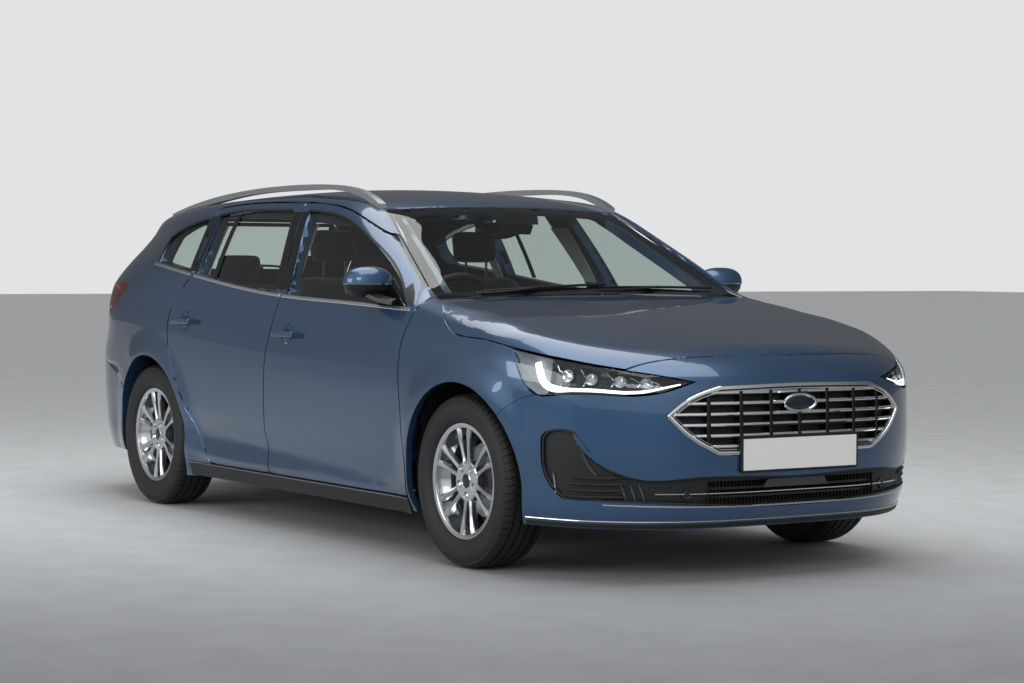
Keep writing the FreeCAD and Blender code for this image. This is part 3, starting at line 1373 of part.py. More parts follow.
def wheel_parts():
    """Tyre and alloy rim with disc, once, for every corner."""
    r = S["tyreradius"]
    half = S["tyrewidth"] / 2
    bead = S["rimradius"]
    flange = S["flangeradius"]
    rim_half = S["rimwidth"] / 2
    wall = [(bead + SEAM, rim_half - 16 - SEAM), (flange + SEAM, rim_half - 7 - SEAM),
            (flange + 1, rim_half - 3), (flange + 22, half - 6), (flange + 50, half), (r - 26, half - 4),
            (r - 7, half - 17), (r, half - 42)]
    profile = wall + [(a, -b) for a, b in wall[::-1]]
    tyre = Part.Face(Part.makePolygon([V(a, b, 0) for a, b in profile + profile[:1]])).revolve(
        V(0, 0, 0), V(0, 1, 0), 360)
    barrel = [(flange, rim_half), (flange, rim_half - 7), (bead, rim_half - 16), (bead - 4, rim_half - 40),
              (bead - 20, rim_half - 60), (bead - 20, -rim_half + 50), (bead - 4, -rim_half + 36),
              (bead, -rim_half + 16), (flange, -rim_half + 7), (flange, -rim_half), (bead - 6, -rim_half + 6),
              (bead - 12, -rim_half + 40), (bead - 28, -rim_half + 52), (bead - 28, rim_half - 56),
              (bead - 12, rim_half - 36), (bead - 7, rim_half - 5)]
    face = Part.Face(Part.makePolygon([V(a, b, 0) for a, b in barrel + barrel[:1]]))
    rim = face.revolve(V(0, 0, 0), V(0, 1, 0), 360)
    hub = Part.makeCylinder(S["hubradius"], 46, V(0, rim_half - 62, 0), V(0, 1, 0))
    spokes = []
    for i in range(6):
        for lean in (-1, 1):
            foot = 27.0 * lean
            tip = 38.0 * lean
            pts = [V(40, rim_half - 44, foot - 13), V(40, rim_half - 16, foot - 13),
                   V(40, rim_half - 16, foot + 13), V(40, rim_half - 44, foot + 13)]
            far = [V(bead - 8, rim_half - 34, tip - 12), V(bead - 8, rim_half - 4, tip - 12),
                   V(bead - 8, rim_half - 4, tip + 12), V(bead - 8, rim_half - 34, tip + 12)]
            spoke = Part.makeLoft([Part.makePolygon(pts + pts[:1]), Part.makePolygon(far + far[:1])], True)
            spoke.rotate(V(0, 0, 0), V(0, 1, 0), 60 * i)
            spokes.append(spoke)
    rim = rim.fuse([hub] + spokes)
    holes = []
    for i in range(5):
        a = math.radians(72 * i + 36)
        holes.append(Part.makeCylinder(11, 24, V(S["lugcircle"] * math.cos(a), rim_half - 34,
                                                 S["lugcircle"] * math.sin(a)), V(0, 1, 0)))
    rim = rim.cut(holes)
    thick = S["discthickness"]
    disc = Part.makeCylinder(S["discradius"], thick, V(0, -30 - thick / 2, 0), V(0, 1, 0))
    bell = Part.makeCylinder(S["hubradius"] - 4, rim_half - 62 + 45, V(0, -45, 0), V(0, 1, 0))
    return tyre, rim.fuse([disc, bell])


def wheels():
    """Four wheels, outer face outwards."""
    tyre, rim = wheel_parts()
    for axle, track, place in ((FRONT_AXLE, S["trackfront"], "front"), (REAR_AXLE, S["trackrear"], "rear")):
        for sign, side in ((-1, "right"), (1, "left")):
            for name, shape in (("tyre", tyre), ("wheel", rim)):
                piece = shape if sign > 0 else mirrored(shape)
                centre = V(axle, sign * track / 2, HUB_HEIGHT)
                add("%s_%s_%s" % (name, place, side), piece, centre)


body_side_pair()
doors()
hood()
wings()
nose_parts()
tail_parts()
roof_parts()
mirrors()
floor()
cabin_fittings()
running_gear()
knuckles()
wheels()

doc.recompute()
os.makedirs("parts", exist_ok=True)
for item in doc.Objects:
    if "Invalid" in item.State or "Error" in item.State:
        raise RuntimeError("%s did not build" % item.Label)
for item in PARTS:
    shape = item.Shape
    if shape.isNull() or not shape.isValid() or not shape.Solids:
        raise RuntimeError("%s has no valid solid" % item.Label)
for item in PARTS:
    item.Shape.exportStep("parts/%s.step" % item.Label)
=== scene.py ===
"""Station wagon in metallic blue, dressed for the studio: paint, glass, lamps, wheels and cabin."""
import logging
import math
from dataclasses import dataclass
from typing import Sequence

import bmesh
import bpy
import numpy as np
from mathutils import Matrix, Vector


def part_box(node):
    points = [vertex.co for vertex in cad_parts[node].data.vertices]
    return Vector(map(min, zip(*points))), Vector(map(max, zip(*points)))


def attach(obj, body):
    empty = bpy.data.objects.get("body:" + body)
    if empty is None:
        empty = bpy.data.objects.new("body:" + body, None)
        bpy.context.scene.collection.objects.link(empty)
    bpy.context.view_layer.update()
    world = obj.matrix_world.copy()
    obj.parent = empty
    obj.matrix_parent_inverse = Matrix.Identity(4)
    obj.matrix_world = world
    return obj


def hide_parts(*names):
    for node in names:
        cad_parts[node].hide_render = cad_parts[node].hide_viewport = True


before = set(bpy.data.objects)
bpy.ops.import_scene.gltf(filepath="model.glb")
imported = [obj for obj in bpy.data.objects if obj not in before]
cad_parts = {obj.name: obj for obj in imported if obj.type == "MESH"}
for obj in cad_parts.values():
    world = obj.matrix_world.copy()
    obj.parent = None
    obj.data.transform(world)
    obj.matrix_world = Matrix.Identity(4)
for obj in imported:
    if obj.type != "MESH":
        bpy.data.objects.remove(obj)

LOG = logging.getLogger("wagon")
BODY = "body"
MM = 0.001


# Colour and node helpers
def linear(code: str) -> tuple[float, float, float, float]:
    """Turn an sRGB hex code into linear red, green, blue and full alpha.

    Args:
        code: six hex digits.

    Returns:
        Linear channels and 1.
    """
    channels = []
    for start in (0, 2, 4):
        share = int(code[start:start + 2], 16) / 255
        channels.append(share / 12.92 if share <= 0.04045 else ((share + 0.055) / 1.055) ** 2.4)
    return (channels[0], channels[1], channels[2], 1.0)


def node(tree: bpy.types.NodeTree, kind: str, settings: dict | None = None,
         inputs: dict | None = None) -> bpy.types.Node:
    """Add one node with its settings and its values or links.

    Args:
        tree: the node tree.
        kind: the node's type.
        settings: properties of the node.
        inputs: socket name or number to a value or to another node's output socket.

    Returns:
        The new node.
    """
    made = tree.nodes.new(kind)
    for name, value in (settings or {}).items():
        setattr(made, name, value)
    for name, value in (inputs or {}).items():
        if isinstance(value, bpy.types.NodeSocket):
            tree.links.new(value, made.inputs[name])
        else:
            made.inputs[name].default_value = value
    return made


class Finish:
    """A surface finish that builds its material once."""

    made: dict[str, bpy.types.Material] = {}

    def material(self) -> bpy.types.Material:
        """Return this finish's material, building it the first time."""
        key = repr(self)
        if key not in Finish.made:
            made = bpy.data.materials.new(type(self).__name__)
            made.use_nodes = True
            made.node_tree.nodes.clear()
            shader = self.shade(made.node_tree)
            node(made.node_tree, "ShaderNodeOutputMaterial", {}, {"Surface": shader.outputs[0]})
            Finish.made[key] = made
        return Finish.made[key]

    def shade(self, tree: bpy.types.NodeTree) -> bpy.types.Node:
        """Build the shader nodes and return the last one."""
        raise NotImplementedError


def place(tree: bpy.types.NodeTree) -> bpy.types.NodeSocket:
    """Return the object coordinates socket of a tree."""
    return node(tree, "ShaderNodeTexCoord").outputs["Object"]


@dataclass(frozen=True)
class MetallicPaint(Finish):
    """Sprayed basecoat with aluminium flake under clear lacquer: deep colour, bright at grazing light."""

    deep: str = "14304c"
    face: str = "3a6189"
    flake_mm: float = 1.2
    sparkle: float = 0.35

    def shade(self, tree: bpy.types.NodeTree) -> bpy.types.Node:
        """Mix flake and base by facing, with a fine flake sparkle and a clear coat."""
        where = place(tree)
        flake = node(tree, "ShaderNodeTexVoronoi", {"feature": "F1"},
                     {"Vector": where, "Scale": 1000 / self.flake_mm})
        glint = node(tree, "ShaderNodeMapRange", {},
                     {"Value": flake.outputs["Color"], "To Min": 0.0, "To Max": self.sparkle})
        weight = node(tree, "ShaderNodeLayerWeight", {}, {"Blend": 0.35})
        depth = node(tree, "ShaderNodeMath", {"operation": "ADD", "use_clamp": True},
                     {0: weight.outputs["Facing"], 1: glint.outputs[0]})
        colour = node(tree, "ShaderNodeMix", {"data_type": "RGBA"},
                      {0: depth.outputs[0], 6: linear(self.face), 7: linear(self.deep)})
        return node(tree, "ShaderNodeBsdfPrincipled", {},
                    {"Base Color": colour.outputs[2], "Metallic": 0.55, "Roughness": 0.32,
                     "Coat Weight": 1.0, "Coat Roughness": 0.03})


@dataclass(frozen=True)
class MouldedPlastic(Finish):
    """Injection-moulded plastic with a sparked grain: near black, broken highlights."""

    colour: str = "151617"
    grain_mm: float = 1.4
    roughness: float = 0.55
    depth: float = 0.12

    def shade(self, tree: bpy.types.NodeTree) -> bpy.types.Node:
        """Lay a fine noise bump under a semi-matt surface."""
        where = place(tree)
        noise = node(tree, "ShaderNodeTexNoise", {},
                     {"Vector": where, "Scale": 1000 / self.grain_mm, "Detail": 3.0})
        bump = node(tree, "ShaderNodeBump", {},
                    {"Strength": self.depth, "Distance": 0.0006, "Height": noise.outputs[0]})
        tone = node(tree, "ShaderNodeMapRange", {}, {"Value": noise.outputs[0], "To Min": 0.85, "To Max": 1.15})
        colour = node(tree, "ShaderNodeVectorMath", {"operation": "SCALE"},
                      {0: linear(self.colour)[:3], "Scale": tone.outputs[0]})
        return node(tree, "ShaderNodeBsdfPrincipled", {},
                    {"Base Color": colour.outputs[0], "Roughness": self.roughness, "Normal": bump.outputs[0]})


@dataclass(frozen=True)
class GlossPlastic(Finish):
    """Piano-black or lacquered plastic: smooth and mirror-like, faint orange peel."""

    colour: str = "08090a"
    roughness: float = 0.08

    def shade(self, tree: bpy.types.NodeTree) -> bpy.types.Node:
        """Add a slow orange-peel bump to a glossy surface."""
        noise = node(tree, "ShaderNodeTexNoise", {}, {"Vector": place(tree), "Scale": 90.0, "Detail": 1.0})
        bump = node(tree, "ShaderNodeBump", {}, {"Strength": 0.03, "Distance": 0.001, "Height": noise.outputs[0]})
        return node(tree, "ShaderNodeBsdfPrincipled", {},
                    {"Base Color": linear(self.colour), "Roughness": self.roughness, "Normal": bump.outputs[0]})


@dataclass(frozen=True)
class ChromePlate(Finish):
    """Bright chrome plated on moulded plastic: mirror with a faint waviness."""

    colour: str = "e4e6e8"
    roughness: float = 0.06

    def shade(self, tree: bpy.types.NodeTree) -> bpy.types.Node:
        """A metal whose reflection wavers a little with the moulding under it."""
        noise = node(tree, "ShaderNodeTexNoise", {}, {"Vector": place(tree), "Scale": 60.0, "Detail": 1.0})
        bump = node(tree, "ShaderNodeBump", {}, {"Strength": 0.02, "Distance": 0.001, "Height": noise.outputs[0]})
        return node(tree, "ShaderNodeBsdfPrincipled", {},
                    {"Base Color": linear(self.colour), "Metallic": 1.0, "Roughness": self.roughness,
                     "Normal": bump.outputs[0]})


@dataclass(frozen=True)
class AnodisedAluminium(Finish):
    """Brushed and anodised aluminium: soft satin streaks along the extrusion."""

    colour: str = "c6c9cc"
    roughness: float = 0.28
    streak_mm: float = 0.8

    def shade(self, tree: bpy.types.NodeTree) -> bpy.types.Node:
        """Stretch a noise along the length for the brushing."""
        spread = node(tree, "ShaderNodeMapping", {}, {"Vector": place(tree), "Scale": (0.03, 1.0, 1.0)})
        noise = node(tree, "ShaderNodeTexNoise", {},
                     {"Vector": spread.outputs[0], "Scale": 1000 / self.streak_mm, "Detail": 2.0})
        rough = node(tree, "ShaderNodeMapRange", {},
                     {"Value": noise.outputs[0], "To Min": self.roughness - 0.06, "To Max": self.roughness + 0.08})
        return node(tree, "ShaderNodeBsdfPrincipled", {},
                    {"Base Color": linear(self.colour), "Metallic": 1.0, "Roughness": rough.outputs[0]})


@dataclass(frozen=True)
class PaintedAlloy(Finish):
    """Cast aluminium wheel in hyper-silver lacquer: bright, slightly grainy."""

    colour: str = "c4c7ca"
    roughness: float = 0.18
    metallic: float = 0.95

    def shade(self, tree: bpy.types.NodeTree) -> bpy.types.Node:
        """A metallic lacquer with a fine sparkle and a clear coat."""
        noise = node(tree, "ShaderNodeTexNoise", {}, {"Vector": place(tree), "Scale": 900.0, "Detail": 2.0})
        tone = node(tree, "ShaderNodeMapRange", {}, {"Value": noise.outputs[0], "To Min": 0.9, "To Max": 1.1})
        colour = node(tree, "ShaderNodeVectorMath", {"operation": "SCALE"},
                      {0: linear(self.colour)[:3], "Scale": tone.outputs[0]})
        return node(tree, "ShaderNodeBsdfPrincipled", {},
                    {"Base Color": colour.outputs[0], "Metallic": self.metallic, "Roughness": self.roughness,
                     "Coat Weight": 0.6, "Coat Roughness": 0.05})


@dataclass(frozen=True)
class TyreRubber(Finish):
    """Vulcanised tyre rubber: dull black with a fine bloom and moulded sheen."""

    colour: str = "1b1b1c"

    def shade(self, tree: bpy.types.NodeTree) -> bpy.types.Node:
        """Mottle the tone slowly and the roughness finely."""
        where = place(tree)
        slow = node(tree, "ShaderNodeTexNoise", {}, {"Vector": where, "Scale": 14.0, "Detail": 3.0})
        fine = node(tree, "ShaderNodeTexNoise", {}, {"Vector": where, "Scale": 700.0, "Detail": 2.0})
        tone = node(tree, "ShaderNodeMapRange", {}, {"Value": slow.outputs[0], "To Min": 0.8, "To Max": 1.25})
        colour = node(tree, "ShaderNodeVectorMath", {"operation": "SCALE"},
                      {0: linear(self.colour)[:3], "Scale": tone.outputs[0]})
        bump = node(tree, "ShaderNodeBump", {}, {"Strength": 0.15, "Distance": 0.0005, "Height": fine.outputs[0]})
        return node(tree, "ShaderNodeBsdfPrincipled", {},
                    {"Base Color": colour.outputs[0], "Roughness": 0.62, "Normal": bump.outputs[0]})


@dataclass(frozen=True)
class CastIron(Finish):
    """Sand-cast iron or a coated chassis part: dark, pitted and dull."""

    colour: str = "3a3b3c"
    metallic: float = 0.4
    roughness: float = 0.6

    def shade(self, tree: bpy.types.NodeTree) -> bpy.types.Node:
        """Pit the surface with a noise of a few millimetres."""
        noise = node(tree, "ShaderNodeTexNoise", {}, {"Vector": place(tree), "Scale": 320.0, "Detail": 4.0})
        bump = node(tree, "ShaderNodeBump", {}, {"Strength": 0.25, "Distance": 0.0008, "Height": noise.outputs[0]})
        return node(tree, "ShaderNodeBsdfPrincipled", {},
                    {"Base Color": linear(self.colour), "Metallic": self.metallic, "Roughness": self.roughness,
                     "Normal": bump.outputs[0]})


@dataclass(frozen=True)
class TurnedSteel(Finish):
    """Machined brake disc: concentric turning marks about the axle."""

    colour: str = "a9aaab"

    def shade(self, tree: bpy.types.NodeTree) -> bpy.types.Node:
        """Steel with fine noise in its roughness."""
        noise = node(tree, "ShaderNodeTexNoise", {}, {"Vector": place(tree), "Scale": 220.0, "Detail": 2.0})
        rough = node(tree, "ShaderNodeMapRange", {}, {"Value": noise.outputs[0], "To Min": 0.25, "To Max": 0.4})
        return node(tree, "ShaderNodeBsdfPrincipled", {},
                    {"Base Color": linear(self.colour), "Metallic": 1.0, "Roughness": rough.outputs[0]})


@dataclass(frozen=True)
class WindowGlass(Finish):
    """Float glass with a light green tint: clear face on, mirror-like at a glancing view."""

    tint: str = "eef3f1"
    clear: float = 0.97

    def shade(self, tree: bpy.types.NodeTree) -> bpy.types.Node:
        """Mix a see-through tint with a mirror by Fresnel."""
        through = node(tree, "ShaderNodeBsdfTransparent", {}, {"Color": tuple(
            c * self.clear for c in linear(self.tint)[:3]) + (1.0,)})
        mirror = node(tree, "ShaderNodeBsdfGlossy", {}, {"Color": (1.0, 1.0, 1.0, 1.0), "Roughness": 0.01})
        fresnel = node(tree, "ShaderNodeFresnel", {}, {"IOR": 1.5})
        inside = node(tree, "ShaderNodeNewGeometry")
        outer = node(tree, "ShaderNodeMath", {"operation": "SUBTRACT"},
                     {0: 1.0, 1: inside.outputs["Backfacing"]})
        share = node(tree, "ShaderNodeMath", {"operation": "MULTIPLY"},
                     {0: fresnel.outputs[0], 1: outer.outputs[0]})
        return node(tree, "ShaderNodeMixShader", {},
                    {0: share.outputs[0], 1: through.outputs[0], 2: mirror.outputs[0]})


@dataclass(frozen=True)
class CeramicPrint(Finish):
    """Black ceramic print fired on the inside of the glass: dead matt, with its fine screen dots."""

    colour: str = "040505"
    dot_mm: float = 1.5

    def shade(self, tree: bpy.types.NodeTree) -> bpy.types.Node:
        """A matt black with a barely visible dot pattern and almost no shine."""
        dots = node(tree, "ShaderNodeTexVoronoi", {"feature": "F1"},
                    {"Vector": place(tree), "Scale": 1000 / self.dot_mm, "Randomness": 0.0})
        tone = node(tree, "ShaderNodeMapRange", {},
                    {"Value": dots.outputs["Distance"], "To Min": 0.8, "To Max": 1.2})
        colour = node(tree, "ShaderNodeVectorMath", {"operation": "SCALE"},
                      {0: linear(self.colour)[:3], "Scale": tone.outputs[0]})
        return node(tree, "ShaderNodeBsdfPrincipled", {},
                    {"Base Color": colour.outputs[0], "Roughness": 0.8, "Specular IOR Level": 0.05})


@dataclass(frozen=True)
class TintedLens(Finish):
    """Moulded acrylic lamp lens, coloured through and fluted inside."""

    tint: str = "6a080d"
    clear: float = 0.25
    flute_mm: float = 6.0

    def shade(self, tree: bpy.types.NodeTree) -> bpy.types.Node:
        """Coloured gloss over a see-through share, with a moulded flute bump."""
        wave = node(tree, "ShaderNodeTexWave", {"bands_direction": "Z"},
                    {"Vector": place(tree), "Scale": 1000 / self.flute_mm / 20})
        bump = node(tree, "ShaderNodeBump", {}, {"Strength": 0.12, "Distance": 0.001, "Height": wave.outputs[1]})
        skin = node(tree, "ShaderNodeBsdfPrincipled", {},
                    {"Base Color": linear(self.tint), "Roughness": 0.06, "Normal": bump.outputs[0],
                     "Coat Weight": 1.0, "Coat Roughness": 0.02})
        through = node(tree, "ShaderNodeBsdfTransparent", {}, {"Color": linear(self.tint)})
        return node(tree, "ShaderNodeMixShader", {}, {0: self.clear, 1: skin.outputs[0], 2: through.outputs[0]})


@dataclass(frozen=True)
class Glow(Finish):
    """Lit light guide behind a lens: even white light."""

    colour: str = "ffffff"
    strength: float = 2.0

    def shade(self, tree: bpy.types.NodeTree) -> bpy.types.Node:
        """A white diffuser that gives out a little light."""
        return node(tree, "ShaderNodeBsdfPrincipled", {},
                    {"Base Color": linear(self.colour), "Roughness": 0.3,
                     "Emission Color": linear(self.colour), "Emission Strength": self.strength})


@dataclass(frozen=True)
class WovenCloth(Finish):
    """Woven seat cloth: a plain weave that shows as a fine check, soft sheen at the edge."""

    colour: str = "1c1d20"
    thread_mm: float = 2.2

    def shade(self, tree: bpy.types.NodeTree) -> bpy.types.Node:
        """Two crossed waves make the weave, a slow noise the wear."""
        where = place(tree)
        scale = 1000 / self.thread_mm / 6.28
        warp = node(tree, "ShaderNodeTexWave", {"bands_direction": "Y"}, {"Vector": where, "Scale": scale})
        weft = node(tree, "ShaderNodeTexWave", {"bands_direction": "Z"}, {"Vector": where, "Scale": scale})
        both = node(tree, "ShaderNodeMath", {"operation": "MULTIPLY"}, {0: warp.outputs[1], 1: weft.outputs[1]})
        slow = node(tree, "ShaderNodeTexNoise", {}, {"Vector": where, "Scale": 9.0, "Detail": 3.0})
        tone = node(tree, "ShaderNodeMapRange", {}, {"Value": slow.outputs[0], "To Min": 0.8, "To Max": 1.3})
        colour = node(tree, "ShaderNodeVectorMath", {"operation": "SCALE"},
                      {0: linear(self.colour)[:3], "Scale": tone.outputs[0]})
        bump = node(tree, "ShaderNodeBump", {}, {"Strength": 0.35, "Distance": 0.001, "Height": both.outputs[0]})
        return node(tree, "ShaderNodeBsdfPrincipled", {},
                    {"Base Color": colour.outputs[0], "Roughness": 0.85, "Sheen Weight": 0.35,
                     "Normal": bump.outputs[0]})


@dataclass(frozen=True)
class Backdrop(Finish):
    """Floated concrete of a studio floor, with painted light falloff: painted light far off, painted shade towards the
    camera.
    """

    # near is painted shade and far is painted light; toward is the way the painted light falloff runs.
    near: str = "7d7f82"
    far: str = "cccecf"
    toward: tuple[float, float, float] = (0.85, -0.53, 0.0)

    def shade(self, tree: bpy.types.NodeTree) -> bpy.types.Node:
        """A matt surface with a soft mottling over a painted gradient from shade near the camera to light far off."""
        where = place(tree)
        # Painted light falloff: blend from painted light far off to painted shade near the camera.
        run = node(tree, "ShaderNodeVectorMath", {"operation": "DOT_PRODUCT"}, {0: where, 1: self.toward})
        share = node(tree, "ShaderNodeMapRange", {"interpolation_type": "SMOOTHSTEP"},
                     {"Value": run.outputs["Value"], "From Min": -1.5, "From Max": 4.5})
        base = node(tree, "ShaderNodeMix", {"data_type": "RGBA"},
                    {0: share.outputs[0], 6: linear(self.far), 7: linear(self.near)})
        noise = node(tree, "ShaderNodeTexNoise", {}, {"Vector": where, "Scale": 5.0, "Detail": 8.0})
        tone = node(tree, "ShaderNodeMapRange", {}, {"Value": noise.outputs[0], "From Min": 0.3, "From Max": 0.7,
                                                     "To Min": 0.94, "To Max": 1.06})
        colour = node(tree, "ShaderNodeVectorMath", {"operation": "SCALE"},
                      {0: base.outputs[2], "Scale": tone.outputs[0]})
        return node(tree, "ShaderNodeBsdfPrincipled", {}, {"Base Color": colour.outputs[0], "Roughness": 0.75})


# Body skin
class Curve:
    """Natural cubic curve through knots, straight beyond its ends."""

    def __init__(self, knots: Sequence[tuple[float, float]]) -> None:
        """Solve the curve's bending at each knot."""
        self.xs = np.array([k[0] for k in knots], float)
        self.ys = np.array([k[1] for k in knots], float)
        count = len(knots)
        steps = np.diff(self.xs)
        system = np.eye(count)
        right = np.zeros(count)
        for i in range(1, count - 1):
            system[i, i - 1:i + 2] = (steps[i - 1], 2 * (steps[i - 1] + steps[i]), steps[i])
            ahead = (self.ys[i + 1] - self.ys[i]) / steps[i]
            behind = (self.ys[i] - self.ys[i - 1]) / steps[i - 1]
            right[i] = 6 * (ahead - behind)
        self.bend = np.linalg.solve(system, right)
        self.steps = steps

    def __call__(self, x: np.ndarray) -> np.ndarray:
        """Return the curve's values at some places."""
        inside = np.clip(x, self.xs[0], self.xs[-1])
        low = np.clip(np.searchsorted(self.xs, inside, side="right") - 1, 0, len(self.xs) - 2)
        step = self.steps[low]
        after = inside - self.xs[low]
        before = self.xs[low + 1] - inside
        a, b = self.bend[low], self.bend[low + 1]
        ya, yb = self.ys[low], self.ys[low + 1]
        value = ((a * before ** 3 + b * after ** 3) / (6 * step) + (ya / step - a * step / 6) * before
                 + (yb / step - b * step / 6) * after)
        first = (self.ys[1] - self.ys[0]) / self.steps[0] - self.steps[0] * self.bend[1] / 6
        last = (self.ys[-1] - self.ys[-2]) / self.steps[-1] + self.steps[-1] * self.bend[-2] / 6
        value = np.where(x < self.xs[0], self.ys[0] + first * (x - self.xs[0]), value)
        return np.where(x > self.xs[-1], self.ys[-1] + last * (x - self.xs[-1]), value)


def smooth(a: float, b: float, x: np.ndarray) -> np.ndarray:
    """Return a smooth step from 0 at a to 1 at b."""
    share = np.clip((x - a) / (b - a), 0.0, 1.0)
    return share * share * (3 - 2 * share)


def rounded_max(a: np.ndarray, b: np.ndarray, radius: np.ndarray | float) -> np.ndarray:
    """Return the larger of two distances, the edge between them rounded."""
    near = (a > -radius) & (b > -radius)
    return np.where(near, np.hypot(a + radius, b + radius) - radius, np.maximum(a, b))


@dataclass
class BodySkin:
    """The body's outer skin as a signed distance, millimetres in and out."""

    half: float = 909.0
    roof: float = 1450.0
    sill: float = 182.0
    axles: tuple[float, float] = (-1256.0, 1444.0)
    step: float = 2.0

    def __post_init__(self) -> None:
        """Lay out the body lines."""
        r, h = self.roof, self.half
        self.bonnet = Curve([(400, 1060), (900, 1012), (1080, 992), (1300, 965), (1500, 937), (1800, 893),
                             (2100, 843), (2271, 806), (2420, 745)])
        self.cabin = Curve([(-2400, r - 160), (-2050, r - 98), (-1700, r - 62), (-1300, r - 30), (-900, r - 8),
                            (-500, r), (-200, r - 6), (0, r - 20), (200, r - 48), (365, r - 90),
                            (548, r - 182), (730, r - 278), (894, 1085), (1065, 993), (1250, 890)])
        self.belt = Curve([(-2200, 1150), (-1575, 1122), (-1245, 1095), (-661, 1030), (-54, 977),
                           (550, 955), (1084, 935), (1600, 925)])
        self.section = Curve([(-0.1, h - 63), (0, h - 57), (0.08, h - 37), (0.2, h - 29), (0.36, h - 16),
                              (0.5, h - 6), (0.63, h), (0.77, h - 3), (0.88, h - 16), (0.95, h - 32),
                              (1, h - 47)])
        self.nose = Curve([(100, 2225), (180, 2257), (250, 2295), (330, 2315), (450, 2328), (560, 2329),
                           (650, 2326), (700, 2320), (760, 2297), (806, 2266), (900, 2175)])
        self.tail = Curve([(100, 2200), (200, 2245), (330, 2312), (500, 2334), (640, 2332), (700, 2318),
                           (760, 2288), (900, 2262), (1000, 2238), (1100, 2195), (1200, 2118), (1300, 2060),
                           (1380, 2010)])
        self.crease = Curve([(-900, 440), (-609, 421), (-91, 391), (625, 362), (952, 336), (1100, 325)])

    def top_height(self, x: np.ndarray, y: np.ndarray) -> np.ndarray:
        """Return the height of bonnet, windscreen or roof over places in plan."""
        q = (y / 720.0) ** 2
        crown = (12 + 8 * (1 - smooth(300, 700, x)) + 25 * (1 - smooth(-200, 300, x))
                 + 15 * (1 - smooth(-600, -200, x)))
        sweep = 30 * smooth(-500, 300, x) - 100 * (1 - smooth(-2000, -1000, x))
        glass = self.cabin(x + sweep * q) - crown * q
        hood = self.bonnet(x + 30 * q) - (6 + 40 * smooth(1500, 2250, x)) * q
        both = 0.5 * (hood + glass + np.hypot(hood - glass, 25))
        share = smooth(-200, 300, x)
        return glass * (1 - share) + both * share

    def side_width(self, x: np.ndarray, z: np.ndarray) -> np.ndarray:
        """Return the half width of the body at places in side view."""
        waist = self.belt(x)
        above = z - waist
        y = np.where(z <= waist, self.section((z - self.sill) / (waist - self.sill)),
                     self.half - 47 - 0.385 * above - 3.0e-4 * above * above)
        lean = smooth(-150, 150, z - waist)
        y = y - 50 * (np.maximum(0.0, x - 1000) / 1000) ** 2
        y = y - 75 * (np.maximum(0.0, -x - 1100) / 900) ** 2
        y = y - (30 * (np.maximum(0.0, x) / 1000) ** 2 + 130 * (np.maximum(0.0, -x - 700) / 1000) ** 2) * lean
        for axle in self.axles:
            y = y + 14 * (1 - smooth(365, 490, np.hypot(x - axle, z - 322)))
        doors = smooth(-1050, -750, x) * (1 - smooth(850, 1080, x))
        return y - 14 * doors * np.exp(-((z - self.crease(x) + 55) / 48) ** 2)

    @staticmethod
    def plan_sweep(y: np.ndarray) -> np.ndarray:
        """Return how far nose and tail fall back at a half width."""
        return 330 * (np.abs(y) / 800) ** 3.46

    def distance(self, points: np.ndarray) -> np.ndarray:
        """Return signed distances of points, in millimetres, to the skin."""
        x, y, z = points[:, 0], np.abs(points[:, 1]), points[:, 2]
        e = self.step
        low = np.maximum(z, 100.0)
        w = self.side_width(x, low)
        slope_x = (self.side_width(x + e, low) - w) / e
        slope_z = (self.side_width(x, low + e) - w) / e
        side = (y - w) / np.sqrt(1 + slope_x ** 2 + slope_z ** 2)
        yy = np.minimum(y, 900.0)
        h = self.top_height(x, yy)
        slope_x = (self.top_height(x + e, yy) - h) / e
        slope_y = (self.top_height(x, yy + e) - h) / e
        main = rounded_max(side, (z - h) / np.sqrt(1 + slope_x ** 2 + slope_y ** 2), 55.0)
        sweep = self.plan_sweep(y)
        slope_s = (self.plan_sweep(y + e) - sweep) / e
        ends = []
        for edge_of, sign, radius in ((self.nose, 1, 90.0), (self.tail, -1, 70 + 60 * smooth(900, 1100, z))):
            edge = edge_of(z)
            slope_z = (edge_of(z + e) - edge) / e
            end = (sign * x - edge + sweep) / np.sqrt(1 + slope_s ** 2 + slope_z ** 2)
            ends.append(rounded_max(main, end, radius))
        return np.where(x > 0, ends[0], ends[1])

    def gradient(self, points: np.ndarray) -> np.ndarray:
        """Return unit outward normals at points."""
        e = 1.5
        columns = []
        for axis in range(3):
            shift = np.zeros(3)
            shift[axis] = e
            columns.append(self.distance(points + shift) - self.distance(points - shift))
        normals = np.stack(columns, axis=1)
        return normals / np.maximum(np.linalg.norm(normals, axis=1, keepdims=True), 1e-9)

    def project(self, points: np.ndarray, depth: float = 0.0, steps: int = 4) -> np.ndarray:
        """Return points moved along the normal to a depth below the skin."""
        moved = points.copy()
        for _ in range(steps):
            moved = moved - self.gradient(moved) * (self.distance(moved) + depth)[:, None]
        return moved

    def hit(self, origins: np.ndarray, ahead: Sequence[float], depth: float = 0.0,
            reach: float = 1700.0) -> np.ndarray:
        """Return where rays from inside the body reach a depth below the skin.

        Args:
            origins: starting points inside the body.
            ahead: direction shared by all rays.
            depth: depth below the skin, negative outside it.
            reach: length within which every ray leaves the body.

        Returns:
            One point for each ray.
        """
        near = np.zeros(len(origins))
        far = np.full(len(origins), reach)
        way = np.array(ahead, float)
        for _ in range(34):
            middle = (near + far) / 2
            inside = self.distance(origins + middle[:, None] * way) + depth < 0
            near = np.where(inside, middle, near)
            far = np.where(inside, far, middle)
        return origins + near[:, None] * way

    def side(self, xz: Sequence[tuple[float, float]], sign: int, depth: float = 0.0) -> np.ndarray:
        """Return points on one side of the body at places in side view."""
        flat = np.array(xz, float)
        start = np.column_stack([flat[:, 0], np.full(len(flat), 200.0 * sign), flat[:, 1]])
        return self.hit(start, (0, sign, 0), depth, 900.0)

